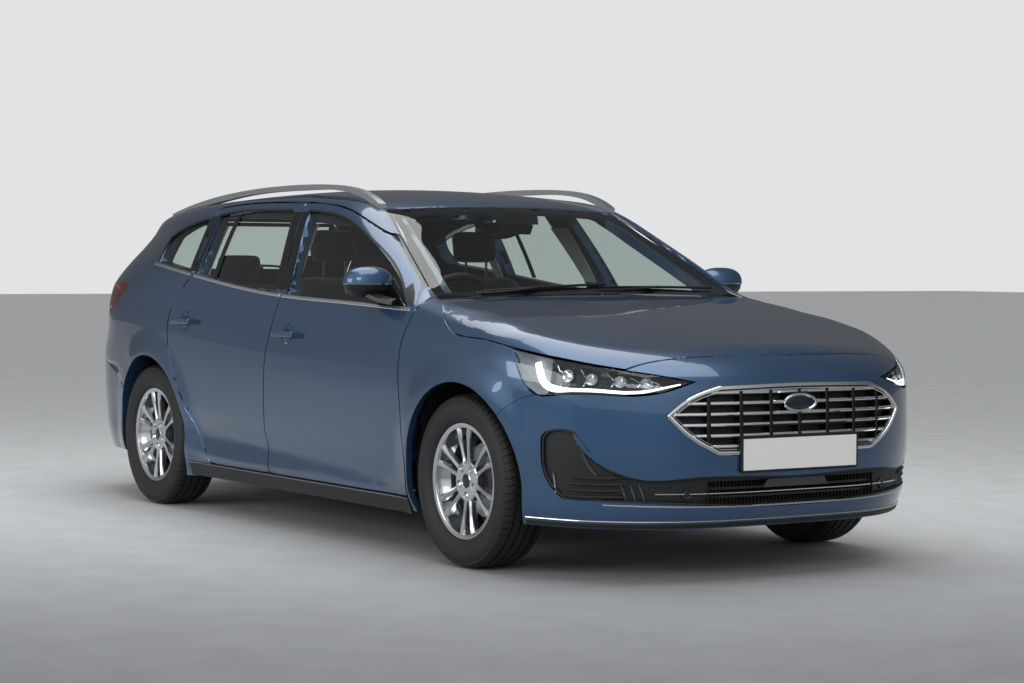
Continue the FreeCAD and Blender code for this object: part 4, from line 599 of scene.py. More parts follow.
    def front(self, yz: Sequence[tuple[float, float]], depth: float = 0.0) -> np.ndarray:
        """Return points on the nose at places seen from in front."""
        flat = np.array(yz, float)
        return self.hit(np.column_stack([np.full(len(flat), 1500.0), flat]), (1, 0, 0), depth)

    def rear(self, yz: Sequence[tuple[float, float]], depth: float = 0.0) -> np.ndarray:
        """Return points on the tail at places seen from behind."""
        flat = np.array(yz, float)
        return self.hit(np.column_stack([np.full(len(flat), -1500.0), flat]), (-1, 0, 0), depth)

    def top(self, xy: Sequence[tuple[float, float]], depth: float = 0.0) -> np.ndarray:
        """Return points on bonnet, windscreen or roof at places in plan."""
        flat = np.array(xy, float)
        return self.hit(np.column_stack([flat, np.full(len(flat), 550.0)]), (0, 0, 1), depth)


SKIN = BodySkin()


# Mesh helpers
def new_object(name: str, mesh: bpy.types.Mesh) -> bpy.types.Object:
    """Link a new object that holds a mesh."""
    made = bpy.data.objects.new(name, mesh)
    bpy.context.scene.collection.objects.link(made)
    return made


def dress(piece: bpy.types.Object, finish: Finish, body: str,
          instead: Sequence[str] = ()) -> bpy.types.Object:
    """Give a piece its finish, the body it rides on, and what it stands for."""
    piece.data.materials.clear()
    piece.data.materials.append(finish.material())
    finish_piece(piece, body, instead)
    return piece


def finish_piece(piece: bpy.types.Object, body: str, instead: Sequence[str] = ()) -> None:
    """Let a piece ride on its body and stand for its nodes."""
    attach(piece, body)
    if instead:
        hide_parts(*instead)
    LOG.info("%s: %d faces", piece.name, len(piece.data.polygons))


def merged_copy(name: str) -> bpy.types.Mesh:
    """Return a copy of a node's mesh with its doubles merged."""
    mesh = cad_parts[name].data.copy()
    work = bmesh.new()
    work.from_mesh(mesh)
    bmesh.ops.remove_doubles(work, verts=work.verts, dist=0.00002)
    work.to_mesh(mesh)
    work.free()
    return mesh


def solid_mesh(name: str, points: np.ndarray, faces: Sequence[Sequence[int]], angle: float = 34.0,
               merge: float = 0.0) -> bpy.types.Mesh:
    """Make a closed mesh from points in millimetres, its faces turned outwards.

    Args:
        name: name of the mesh.
        points: places in millimetres.
        faces: corner numbers of each face.
        angle: edges sharper than this, in degrees, stay sharp.
        merge: distance in millimetres within which points become one.

    Returns:
        The mesh, in metres.
    """
    mesh = bpy.data.meshes.new(name)
    mesh.from_pydata((np.asarray(points) * MM).tolist(), [], [list(face) for face in faces])
    work = bmesh.new()
    work.from_mesh(mesh)
    if merge:
        bmesh.ops.remove_doubles(work, verts=work.verts, dist=merge * MM)
    bmesh.ops.recalc_face_normals(work, faces=work.faces)
    work.to_mesh(mesh)
    work.free()
    for polygon in mesh.polygons:
        polygon.use_smooth = True
    mesh.set_sharp_from_angle(angle=math.radians(angle))
    return mesh


def grid_faces(rows: int, columns: int, round_rows: bool = False, round_columns: bool = False,
               start: int = 0) -> list[tuple[int, int, int, int]]:
    """Return the quads of a grid of points, closed round either way if asked."""
    quads = []
    for i in range(rows if round_rows else rows - 1):
        for j in range(columns if round_columns else columns - 1):
            a, b = start + i * columns, start + ((i + 1) % rows) * columns
            k = (j + 1) % columns
            quads.append((a + j, b + j, b + k, a + k))
    return quads


def sweep(name: str, path: np.ndarray, outward: np.ndarray, section: Sequence[tuple[float, float]],
          closed: bool = False, taper: Sequence[float] | None = None) -> bpy.types.Mesh:
    """Draw a section along a path that lies on a surface.

    Args:
        name: name of the mesh.
        path: points along the way, in millimetres.
        outward: the surface's normal at each point.
        section: outline as pairs of across and outward, in millimetres.
        closed: whether the path is a ring.
        taper: scale of the section at each point.

    Returns:
        The closed mesh.
    """
    if closed:
        ahead = np.roll(path, -1, axis=0) - np.roll(path, 1, axis=0)
    else:
        ahead = np.gradient(path, axis=0)
    ahead /= np.linalg.norm(ahead, axis=1, keepdims=True)
    across = np.cross(outward, ahead)
    across /= np.linalg.norm(across, axis=1, keepdims=True)
    out = np.cross(ahead, across)
    scale = np.ones(len(path)) if taper is None else np.array(taper, float)
    shape = np.array(section, float)
    points = (path[:, None, :] + across[:, None, :] * (shape[:, 0] * scale[:, None])[:, :, None]
              + out[:, None, :] * (shape[:, 1] * scale[:, None])[:, :, None])
    count = len(shape)
    faces = grid_faces(len(path), count, closed, True)
    if not closed:
        faces.append(tuple(range(count)))
        faces.append(tuple(range((len(path) - 1) * count, len(path) * count)))
    return solid_mesh(name, points.reshape(-1, 3), faces)


def sheet(name: str, outer: np.ndarray, inner: np.ndarray, angle: float = 34.0) -> bpy.types.Mesh:
    """Make a closed plate between two grids of points with matching rows and columns."""
    rows, columns = outer.shape[:2]
    size = rows * columns
    faces = grid_faces(rows, columns) + grid_faces(rows, columns, start=size)
    rim = [j for j in range(columns)] + [i * columns + columns - 1 for i in range(1, rows)]
    rim += [(rows - 1) * columns + j for j in range(columns - 2, -1, -1)]
    rim += [i * columns for i in range(rows - 2, 0, -1)]
    for a, b in zip(rim, rim[1:] + rim[:1]):
        faces.append((a, b, b + size, a + size))
    return solid_mesh(name, np.concatenate([outer.reshape(-1, 3), inner.reshape(-1, 3)]), faces, angle)


def revolve(name: str, profile: Sequence[tuple[float, float]], segments: int = 96,
            angle: float = 30.0) -> bpy.types.Mesh:
    """Turn a closed profile of radius and place along Y about the Y axis."""
    flat = np.array(profile, float)
    turns = np.arange(segments) * 2 * math.pi / segments
    points = np.stack([np.outer(np.sin(turns), flat[:, 0]), np.tile(flat[:, 1], (segments, 1)),
                       np.outer(np.cos(turns), flat[:, 0])], axis=2)
    faces = grid_faces(segments, len(flat), True, True)
    return solid_mesh(name, points.reshape(-1, 3), faces, angle, 0.01)


def joined(name: str, meshes: Sequence[bpy.types.Mesh]) -> bpy.types.Mesh:
    """Return one mesh that holds several."""
    work = bmesh.new()
    for mesh in meshes:
        work.from_mesh(mesh)
    made = bpy.data.meshes.new(name)
    work.to_mesh(made)
    work.free()
    return made


def moved(mesh: bpy.types.Mesh, shift: Sequence[float], mirror: bool = False) -> bpy.types.Mesh:
    """Return a copy of a mesh, mirrored across the car if asked and moved by metres."""
    copy = mesh.copy()
    if mirror:
        copy.transform(Matrix.Diagonal((1, -1, 1, 1)))
        copy.flip_normals()
    copy.transform(Matrix.Translation(Vector(shift)))
    return copy


def through(points: Sequence[tuple[float, float]], count: int = 24) -> np.ndarray:
    """Return evenly spread places on the smooth curve through flat points."""
    flat = np.array(points, float)
    runs = np.concatenate([[0.0], np.cumsum(np.linalg.norm(np.diff(flat, axis=0), axis=1))])
    places = np.linspace(0.0, runs[-1], count)
    if len(points) == 2:
        return np.column_stack([np.interp(places, runs, flat[:, k]) for k in (0, 1)])
    return np.column_stack([Curve(list(zip(runs, flat[:, k])))(places) for k in (0, 1)])


def ring(edges: Sequence[Sequence[tuple[float, float]]], corner: float = 14.0) -> np.ndarray:
    """Return a closed line of smooth edges whose corners are rounded."""
    trimmed = []
    for edge in edges:
        line = through(edge, 60)
        runs = np.concatenate([[0.0], np.cumsum(np.linalg.norm(np.diff(line, axis=0), axis=1))])
        places = np.linspace(corner, runs[-1] - corner, 26)
        trimmed.append(np.column_stack([np.interp(places, runs, line[:, k]) for k in (0, 1)]))
    points = []
    for i, line in enumerate(trimmed):
        following = trimmed[(i + 1) % len(trimmed)]
        peak = np.array(edges[i][-1], float)
        points.extend(line)
        for share in (0.25, 0.5, 0.75):
            points.append((1 - share) ** 2 * line[-1] + 2 * share * (1 - share) * peak + share ** 2 * following[0])
    return np.array(points)


def widened(line: np.ndarray, amount: float) -> np.ndarray:
    """Return a ring moved to its right by an amount."""
    ahead = np.roll(line, -1, axis=0) - np.roll(line, 1, axis=0)
    ahead /= np.linalg.norm(ahead, axis=1, keepdims=True)
    return line + amount * np.column_stack([ahead[:, 1], -ahead[:, 0]])


class Repeat:
    """Copies of a mesh, each turned and moved on from the one before, by geometry nodes."""

    tree: bpy.types.NodeTree | None = None

    @classmethod
    def group(cls) -> bpy.types.NodeTree:
        """Build the node group the first time it is wanted."""
        if cls.tree is None:
            tree = bpy.data.node_groups.new("repeat", "GeometryNodeTree")
            for name, kind in (("Geometry", "NodeSocketGeometry"), ("Count", "NodeSocketInt"),
                               ("Turn", "NodeSocketVector"), ("Step", "NodeSocketVector"),
                               ("Material", "NodeSocketMaterial")):
                tree.interface.new_socket(name, in_out="INPUT", socket_type=kind)
            tree.interface.new_socket("Geometry", in_out="OUTPUT", socket_type="NodeSocketGeometry")
            start = node(tree, "NodeGroupInput").outputs
            one = node(tree, "GeometryNodeGeometryToInstance", {}, {"Geometry": start["Geometry"]})
            many = node(tree, "GeometryNodeDuplicateElements", {"domain": "INSTANCE"},
                        {"Geometry": one.outputs[0], "Amount": start["Count"]})
            turn = node(tree, "ShaderNodeVectorMath", {"operation": "SCALE"},
                        {0: start["Turn"], "Scale": many.outputs[1]})
            spin = node(tree, "FunctionNodeEulerToRotation", {}, {0: turn.outputs[0]})
            step = node(tree, "ShaderNodeVectorMath", {"operation": "SCALE"},
                        {0: start["Step"], "Scale": many.outputs[1]})
            turned = node(tree, "GeometryNodeRotateInstances", {},
                          {"Instances": many.outputs[0], "Rotation": spin.outputs[0], "Local Space": False})
            shifted = node(tree, "GeometryNodeTranslateInstances", {},
                           {"Instances": turned.outputs[0], "Translation": step.outputs[0],
                            "Local Space": False})
            whole = node(tree, "GeometryNodeRealizeInstances", {}, {0: shifted.outputs[0]})
            clad = node(tree, "GeometryNodeSetMaterial", {},
                        {"Geometry": whole.outputs[0], "Material": start["Material"]})
            node(tree, "NodeGroupOutput", {}, {0: clad.outputs[0]})
            cls.tree = tree
        return cls.tree

    @classmethod
    def spread(cls, mesh: bpy.types.Mesh, finish: Finish, count: int,
               turn: Sequence[float] = (0, 0, 0), step: Sequence[float] = (0, 0, 0)) -> bpy.types.Mesh:
        """Return one mesh of all the copies.

        Args:
            mesh: what is repeated.
            finish: its finish.
            count: number of copies.
            turn: turn from copy to copy about X, Y and Z, radians.
            step: move from copy to copy, metres.

        Returns:
            The copies as one plain mesh.
        """
        piece = new_object(mesh.name + "_one", mesh)
        modifier = piece.modifiers.new("repeat", "NODES")
        modifier.node_group = cls.group()
        values = {"Count": count, "Turn": turn, "Step": step, "Material": finish.material()}
        for item in cls.group().interface.items_tree:
            if item.in_out == "INPUT" and item.name in values:
                modifier[item.identifier] = values[item.name]
        bpy.context.view_layer.update()
        graph = bpy.context.evaluated_depsgraph_get()
        result = bpy.data.meshes.new_from_object(piece.evaluated_get(graph), depsgraph=graph)
        bpy.data.objects.remove(piece)
        return result


class SkinPanel:
    """A body panel whose outer face is drawn again on the true skin."""

    near_mm: float = 0.6
    reach_mm: float = 4.0
    rounds: int = 5
    crease: float = 28.0

    def __init__(self, name: str, depth: float = 0.0, longest: float = 0.03) -> None:
        """Copy the node, divide its outer face and settle it on the skin."""
        self.name = name
        self.depth = depth
        mesh = merged_copy(name)
        work = bmesh.new()
        work.from_mesh(mesh)
        for _ in range(self.rounds):
            if not self.divide(work, longest):
                break
        work.to_mesh(mesh)
        work.free()
        self.mesh = mesh
        self.shade()

    def on_skin(self, work: bmesh.types.BMesh) -> np.ndarray:
        """Return which vertices lie on the skin at this panel's depth."""
        points = np.array([v.co for v in work.verts], float) * 1000
        return np.abs(SKIN.distance(points) + self.depth) < self.near_mm

    def divide(self, work: bmesh.types.BMesh, longest: float) -> bool:
        """Halve the long edges of the outer face and settle the new points."""
        work.verts.index_update()
        near = self.on_skin(work)
        work.faces.ensure_lookup_table()
        long_edges = []
        for edge in work.edges:
            a, b = edge.verts
            if near[a.index] and near[b.index] and edge.calc_length() > longest:
                if any(all(near[v.index] for v in face.verts) for face in edge.link_faces):
                    long_edges.append(edge)
        if not long_edges:
            return False
        before = len(work.verts)
        bmesh.ops.subdivide_edges(work, edges=long_edges, cuts=1, use_grid_fill=False)
        bmesh.ops.triangulate(work, faces=[f for f in work.faces if len(f.verts) > 3],
                              quad_method="SHORT_EDGE", ngon_method="BEAUTY")
        work.verts.ensure_lookup_table()
        fresh = work.verts[before:]
        points = np.array([v.co for v in fresh], float) * 1000
        gap = SKIN.distance(points) + self.depth
        moved = SKIN.project(points, self.depth)
        for vert, point, off in zip(fresh, moved, gap):
            if abs(off) < self.reach_mm:
                vert.co = point / 1000
        return True

    def shade(self) -> None:
        """Set the skin's own normals on the outer face, and flat or soft ones elsewhere."""
        mesh = self.mesh
        mesh.validate()
        for polygon in mesh.polygons:
            polygon.use_smooth = True
        mesh.set_sharp_from_angle(angle=math.radians(self.crease))
        points = np.zeros(len(mesh.vertices) * 3)
        mesh.vertices.foreach_get("co", points)
        points = points.reshape(-1, 3) * 1000
        near = np.abs(SKIN.distance(points) + self.depth) < self.near_mm
        true = SKIN.gradient(points)
        normals = np.zeros(len(mesh.loops) * 3)
        mesh.corner_normals.foreach_get("vector", normals)
        normals = normals.reshape(-1, 3)
        loop_verts = np.zeros(len(mesh.loops), int)
        mesh.loops.foreach_get("vertex_index", loop_verts)
        starts = np.zeros(len(mesh.polygons), int)
        totals = np.zeros(len(mesh.polygons), int)
        faces = np.zeros(len(mesh.polygons) * 3)
        mesh.polygons.foreach_get("loop_start", starts)
        mesh.polygons.foreach_get("loop_total", totals)
        mesh.polygons.foreach_get("normal", faces)
        owner = np.repeat(np.arange(len(starts)), totals)
        face_normals = faces.reshape(-1, 3)[owner]
        facing = np.einsum("ij,ij->i", face_normals, true[loop_verts])
        whole = np.ones(len(starts), bool)
        np.logical_and.at(whole, owner, near[loop_verts])
        chosen = whole[owner] & (facing > 0.7)
        normals[chosen] = true[loop_verts][chosen]
        mesh.normals_split_custom_set(normals.tolist())

    def dress(self, finish: Finish, body: str, slot: str) -> bpy.types.Object:
        """Show the panel in its finish in place of its node."""
        piece = new_object(self.name + "_panel", self.mesh)
        return dress(piece, finish, body, [self.name])


# Camera, light and floor
@dataclass
class Studio:
    """Pale studio cove with soft boxes, and the camera at the photograph's place."""

    eye: tuple[float, float, float] = (8.92368917, -5.53701494, 1.14204313)
    yaw: float = 146.87062
    pitch: float = -1.97004
    roll: float = 0.32484
    lens: float = 84.213
    wall: str = "e2e3e5"
    ambient: float = 0.72
    dark: float = 0.16
    open_side: tuple[float, float, float] = (0.55, -0.83, 0.1)

    def camera(self) -> None:
        """Place the camera found from the photograph."""
        yaw, pitch, roll = (math.radians(a) for a in (self.yaw, self.pitch, self.roll))
        forward = Vector((math.cos(pitch) * math.cos(yaw), math.cos(pitch) * math.sin(yaw), math.sin(pitch)))
        right = forward.cross(Vector((0, 0, 1))).normalized()
        up = right.cross(forward)
        turned_right = math.cos(roll) * right + math.sin(roll) * up
        turned_up = -math.sin(roll) * right + math.cos(roll) * up
        data = bpy.data.cameras.new("camera")
        data.lens = self.lens
        data.sensor_width = 36.0
        data.clip_end = 200.0
        made = bpy.data.objects.new("camera", data)
        bpy.context.scene.collection.objects.link(made)
        made.matrix_world = Matrix((
            (turned_right.x, turned_up.x, -forward.x, self.eye[0]),
            (turned_right.y, turned_up.y, -forward.y, self.eye[1]),
            (turned_right.z, turned_up.z, -forward.z, self.eye[2]),
            (0, 0, 0, 1)))
        bpy.context.scene.camera = made

    def lamp(self, name: str, spot: tuple[float, float, float], aim: tuple[float, float, float],
             size: tuple[float, float], power: float) -> None:
        """Hang one soft box that faces a point."""
        data = bpy.data.lights.new(name, "AREA")
        data.shape = "RECTANGLE"
        data.size, data.size_y = size
        data.energy = power
        made = bpy.data.objects.new(name, data)
        bpy.context.scene.collection.objects.link(made)
        made.location = spot
        made.rotation_euler = (Vector(aim) - Vector(spot)).to_track_quat("-Z", "Y").to_euler()

    def build(self) -> None:
        """Build floor, world and lights."""
        scene = bpy.context.scene
        scene.view_settings.view_transform = "Standard"
        world = bpy.data.worlds.new("studio")
        scene.world = world
        world.use_nodes = True
        world.node_tree.nodes.clear()
        tree = world.node_tree
        path = node(tree, "ShaderNodeLightPath")
        way = node(tree, "ShaderNodeTexCoord")
        facing = node(tree, "ShaderNodeVectorMath", {"operation": "DOT_PRODUCT"},
                      {0: way.outputs["Generated"], 1: self.open_side})
        mirrored = node(tree, "ShaderNodeMapRange", {"interpolation_type": "SMOOTHSTEP"},
                        {"Value": facing.outputs["Value"], "From Min": -0.45, "From Max": 0.8,
                         "To Min": self.dark, "To Max": 1.0})
        glossy = node(tree, "ShaderNodeMapRange", {}, {"Value": path.outputs["Is Glossy Ray"],
                                                       "To Min": self.ambient, "To Max": mirrored.outputs[0]})
        seen = node(tree, "ShaderNodeMath", {"operation": "MAXIMUM"},
                    {0: path.outputs["Is Camera Ray"], 1: path.outputs["Is Transmission Ray"]})
        level = node(tree, "ShaderNodeMapRange", {}, {"Value": seen.outputs[0], "To Min": glossy.outputs[0],
                                                      "To Max": 1.0})
        shade = node(tree, "ShaderNodeBackground", {}, {"Color": linear(self.wall), "Strength": level.outputs[0]})
        node(tree, "ShaderNodeOutputWorld", {}, {"Surface": shade.outputs[0]})
        work = bmesh.new()
        bmesh.ops.create_grid(work, x_segments=8, y_segments=8, size=60)
        mesh = bpy.data.meshes.new("floor")
        work.to_mesh(mesh)
        work.free()
        ground = new_object("floor", mesh)
        ground.data.materials.append(Backdrop().material())
        self.lamp("overhead", (0.5, 0.0, 4.6), (0.5, 0.0, 0.0), (7.0, 3.2), 170)
        self.lamp("front_key", (7.5, -4.0, 3.6), (1.0, 0.0, 0.6), (3.0, 2.0), 90)
        self.lamp("side_fill", (0.0, -7.5, 2.2), (0.0, 0.0, 0.6), (6.0, 1.6), 120)


# Body
class Bodywork:
    """Painted panels, redrawn on the true skin."""

    paint = MetallicPaint()
    panels = {
        "body_side_right": BODY, "body_side_left": BODY, "wings": BODY, "front_bumper": BODY,
        "rear_bumper": BODY, "roof_panel": BODY, "hood": "hood", "tailgate": "tailgate",
        "front_door_right": "front_door_right", "front_door_left": "front_door_left",
        "rear_door_right": "rear_door_right", "rear_door_left": "rear_door_left",
    }

    def build(self) -> None:
        """Redraw and paint every panel."""
        for name, body in self.panels.items():
            SkinPanel(name).dress(self.paint, body, "paint")


def put(name: str, mesh: bpy.types.Mesh, finish: Finish, body: str = BODY,
        instead: Sequence[str] = ()) -> bpy.types.Object:
    """Show a mesh as a named piece in its finish.

    Args:
        name: name of the piece.
        mesh: its shape.
        finish: its finish.
        body: the body that it rides on.
        instead: CAD nodes that it stands for.

    Returns:
        The new piece.
    """
    return dress(new_object(name, mesh), finish, body, instead)


def strip(name: str, points: np.ndarray, section: Sequence[tuple[float, float]], closed: bool = False,
          depth: float = 0.0, taper: Sequence[float] | None = None) -> bpy.types.Mesh:
    """Draw a section along points on the skin, moved in by a depth."""
    normals = SKIN.gradient(points)
    return sweep(name, points - normals * depth, normals, section, closed, taper)


def cover(name: str, points: np.ndarray, rise: float, sink: float) -> bpy.types.Mesh:
    """Make a plate over a grid of skin points, from a height above it to a depth below it."""
    rows, columns = points.shape[:2]
    flat = points.reshape(-1, 3)
    normals = SKIN.gradient(flat)
    outer = (flat + normals * rise).reshape(rows, columns, 3)
    inner = (flat - normals * sink).reshape(rows, columns, 3)
    return sheet(name, outer, inner)


def between(first: np.ndarray, second: np.ndarray, columns: int) -> np.ndarray:
    """Return rows of flat points from one line to another, matched point by point."""
    shares = np.linspace(0.0, 1.0, columns)[None, :, None]
    return first[:, None, :] * (1 - shares) + second[:, None, :] * shares


SIDES = ((-1, "right"), (1, "left"))


@dataclass
class RoadWheel:
    """Alloy wheel of six pairs of ridged spokes with nuts, cap, brake disc and tyre."""

    tyre_radius: float = 322.0
    tyre_half: float = 102.0
    flange: float = 216.0
    bead: float = 203.0
    rim_half: float = 82.5
    hub: float = 76.0
    dish: float = 13.0
    lug_circle: float = 54.0
    disc: float = 139.0
    pairs: int = 6
    nuts: int = 5
    blocks: int = 72

    def spoke(self, lean: int) -> bpy.types.Mesh:
        """Make one spoke of a pair, a ridge along its face, leaning away from its twin."""
        count = 15
        run = np.linspace(0.0, 1.0, count)
        radius = 50 + (self.bead - 3 - 50) * run
        middle = lean * (11.5 + 25.5 * run ** 1.15)
        wide = 13.5 - 5.5 * np.sin(np.pi * np.minimum(run * 1.15, 1)) + 1.5 * run
        face = self.rim_half - self.dish + (self.dish - 3) * smooth(0.1, 1.0, run)
        rows = []
        for r, m, w, f in zip(radius, middle, wide, face):
            rows.append([(r, f - 30, m - 0.75 * w), (r, f - 11, m - w), (r, f - 6, m - 0.86 * w),
                         (r, f - 0.8, m - 0.14 * w), (r, f - 0.8, m + 0.14 * w), (r, f - 6, m + 0.86 * w),
                         (r, f - 11, m + w), (r, f - 30, m + 0.75 * w)])
        points = np.array(rows).reshape(-1, 3)
        faces = grid_faces(count, 8, False, True)
        faces += [tuple(range(8)), tuple(range((count - 1) * 8, count * 8))]
        return solid_mesh("spoke", points, faces, 24)

    def hub_face(self) -> bpy.types.Mesh:
        """Make the hub with a well round each nut."""
        turns = np.arange(180) * 2 * math.pi / 180
        radii = [0.0, 14, 24, 27, 29, 33, 37, 40, 43, 46, 50, 54, 58, 62, 65, 68, 71, 74, self.hub]
        top = self.rim_half - self.dish - 1
        rows = []
        for radius in radii:
            x, z = radius * np.cos(turns), -radius * np.sin(turns)
            y = np.full(180, top - 3 * max(0.0, (radius - 66) / 10) ** 2)
            for i in range(self.nuts):
                angle = math.radians(20 + 72 * i)
                off = np.hypot(x - self.lug_circle * math.cos(angle), z + self.lug_circle * math.sin(angle))
                y = y - 11 * (1 - smooth(11.5, 14.5, off))
            rows.append(np.column_stack([x, y, z]))
        for radius, y in ((self.hub, 24.0), (0.0, 24.0)):
            rows.append(np.column_stack([radius * np.cos(turns), np.full(180, y), -radius * np.sin(turns)]))
        points = np.concatenate(rows)
        return solid_mesh("hub", points, grid_faces(len(rows), 180, False, True), 34, 0.01)

    def barrel(self) -> bpy.types.Mesh:
        """Turn the rim with its flanges and drop centre."""
        f, b, h = self.flange, self.bead, self.rim_half
        profile = [(f - 1.5, h), (f, h - 2), (f, h - 6), (f - 3, h - 8), (b + 1, h - 13), (b, h - 16),
                   (b - 4, h - 40),
                   (b - 20, h - 60), (b - 20, 50 - h), (b - 4, 36 - h), (b, 16 - h), (f, 7 - h), (f, -h),
                   (b - 6, 6 - h), (b - 12, 40 - h), (b - 28, 52 - h), (b - 28, h - 56), (b - 12, h - 36),
                   (b - 7.5, h - 12), (b - 5, h - 4), (b - 2, h - 2.2), (b + 4, h - 1.6), (f - 4, h)]
        return revolve("barrel", profile, 144)

    def brake(self) -> bpy.types.Mesh:
        """Make the vented disc: two rings and the vanes between them."""
        r = self.disc
        rings = [revolve("ring", [(70, a), (r - 1, a), (r, a - s), (r, a - 7 * s), (r - 1, a - 8 * s), (70, a - 8 * s)],
                         96) for a, s in ((-18.0, 1), (-42.0, -1))]
        vane = sheet("vane", np.array([[(72, -26, -2), (72, -34, -2)], [(r - 3, -26, 10), (r - 3, -34, 10)]], float),
                     np.array([[(72, -26, 1), (72, -34, 1)], [(r - 3, -26, 14), (r - 3, -34, 14)]], float))
        vanes = Repeat.spread(vane, TurnedSteel(), 36, (0, math.radians(10), 0))
        bell = revolve("bell", [(34, -16), (66, -16), (72, -20), (72, 20), (0, 20), (0, -16)], 72)
        return joined("brake", rings + [vanes, bell])

    def nut(self) -> bpy.types.Mesh:
        """Turn one six-sided nut and set it in its well."""
        mesh = revolve("nut", [(0, 10), (5.5, 10), (8.8, 8), (8.8, 0), (0, 0)], 6)
        level = self.rim_half - self.dish - 12.5
        mesh.transform(Matrix.Rotation(math.radians(20), 4, "Y") @ Matrix.Translation(
            Vector((self.lug_circle, level, 0)) * MM))
        return mesh

    def carcass(self) -> bpy.types.Mesh:
        """Turn the tyre's carcass with its sidewall ribs."""
        r, h = self.tyre_radius, self.tyre_half
        wall = [(self.bead + 1, self.rim_half - 16), (self.flange + 1, self.rim_half - 3), (222, 88), (226, 90),
                (227, 92), (232, 94.5), (233, 93.8), (243, 98.2), (254, 100.4), (255, 101.3), (259, 101.8),
                (260, 101), (268, h - 0.4), (278, h - 0.8), (288, 99), (298, 94.5), (r - 17, 89), (r - 12, 82),
                (r - 9, 70), (r - 8.2, 56)]
        profile = wall + [(a, -b) for a, b in wall[::-1]]
        return revolve("carcass", profile, 160)

    def block(self, stops: Sequence[tuple[float, float]], root: float, sweep_back: float,
              share: float = 0.86) -> bpy.types.Mesh:
        """Make one tread block whose face follows a line of radius and place across."""
        pitch = 2 * math.pi / self.blocks
        outer, inner = [], []
        for k in range(3):
            tops, roots = [], []
            for j, (radius, across) in enumerate(stops):
                turn = pitch * (share * (k / 2 - 0.5) + sweep_back * j / (len(stops) - 1))
                tops.append((radius * math.sin(turn), across, radius * math.cos(turn)))
                roots.append((root * math.sin(turn), across * 0.995, root * math.cos(turn)))
            outer.append(tops)
            inner.append(roots)
        return sheet("block", np.array(outer), np.array(inner), 40)

    def tread(self) -> bpy.types.Mesh:
        """Set the tread blocks round the carcass."""
        r = self.tyre_radius
        rows = [self.block([(r - 1.2, s * 57), (r - 2.2, s * 68), (r - 4.5, s * 78), (r - 8.5, s * 86),
                            (r - 14, s * 92)], r - 24, 0.35 * s) for s in (-1, 1)]
        rows += [self.block([(r - 0.2, s * 22), (r - 0.8, s * 48)], r - 14, 0.5 * s, 0.9) for s in (-1, 1)]
        rows.append(self.block([(r, -14), (r, 14)], r - 14, 0.4, 0.94))
        meshes = [Repeat.spread(row, TyreRubber(), self.blocks, (0, 2 * math.pi / self.blocks, 0)) for row in rows]
        return joined("tread", meshes)

    def build(self) -> None:
        """Build the wheel once and set it at all four corners."""
        twist = Matrix.Rotation(math.radians(-34.5), 4, "Y")
        pair = joined("pair", [self.spoke(-1), self.spoke(1)])
        pair.transform(twist)
        spokes = Repeat.spread(pair, PaintedAlloy(), self.pairs, (0, 2 * math.pi / self.pairs, 0))
        rim = joined("rim", [self.barrel(), self.hub_face(), spokes])
        nuts = Repeat.spread(self.nut(), ChromePlate(), self.nuts, (0, 2 * math.pi / self.nuts, 0))
        top = self.rim_half - self.dish
        cap = revolve("cap", [(0, top + 1.5), (16, top + 1), (24, top), (26, top - 1.5), (26, top - 14),
                              (0, top - 14)])
        ring_mesh = revolve("cap_ring", [(26, top), (27.5, top + 1), (29.5, top), (29.5, top - 12),
                                         (26, top - 12)])
        tyre = joined("tyre", [self.carcass(), self.tread()])
        brake = self.brake()
        for end in ("front", "rear"):
            for side, label in SIDES:
                tag = "%s_%s" % (end, label)
                low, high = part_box("tyre_" + tag)
                shift = [(a + b) / 2 for a, b in zip(low, high)]
                body, wheel = "wheel_" + tag, "wheel_%s" % tag
                for name, mesh, finish, slot, instead in (
                        ("rim", rim, PaintedAlloy(), "alloy", [wheel]), ("nuts", nuts, ChromePlate(), "steel", []),
                        ("cap", cap, GlossPlastic("101214"), "black_plastic", []),
                        ("cap_ring", ring_mesh, ChromePlate(), "bright_trim", []),
                        ("disc", brake, TurnedSteel(), "steel", []),
                        ("tread", tyre, TyreRubber(), "tyre", ["tyre_" + tag])):
                    put("%s_%s" % (tag, name), moved(mesh, shift, side < 0), finish, body, instead)


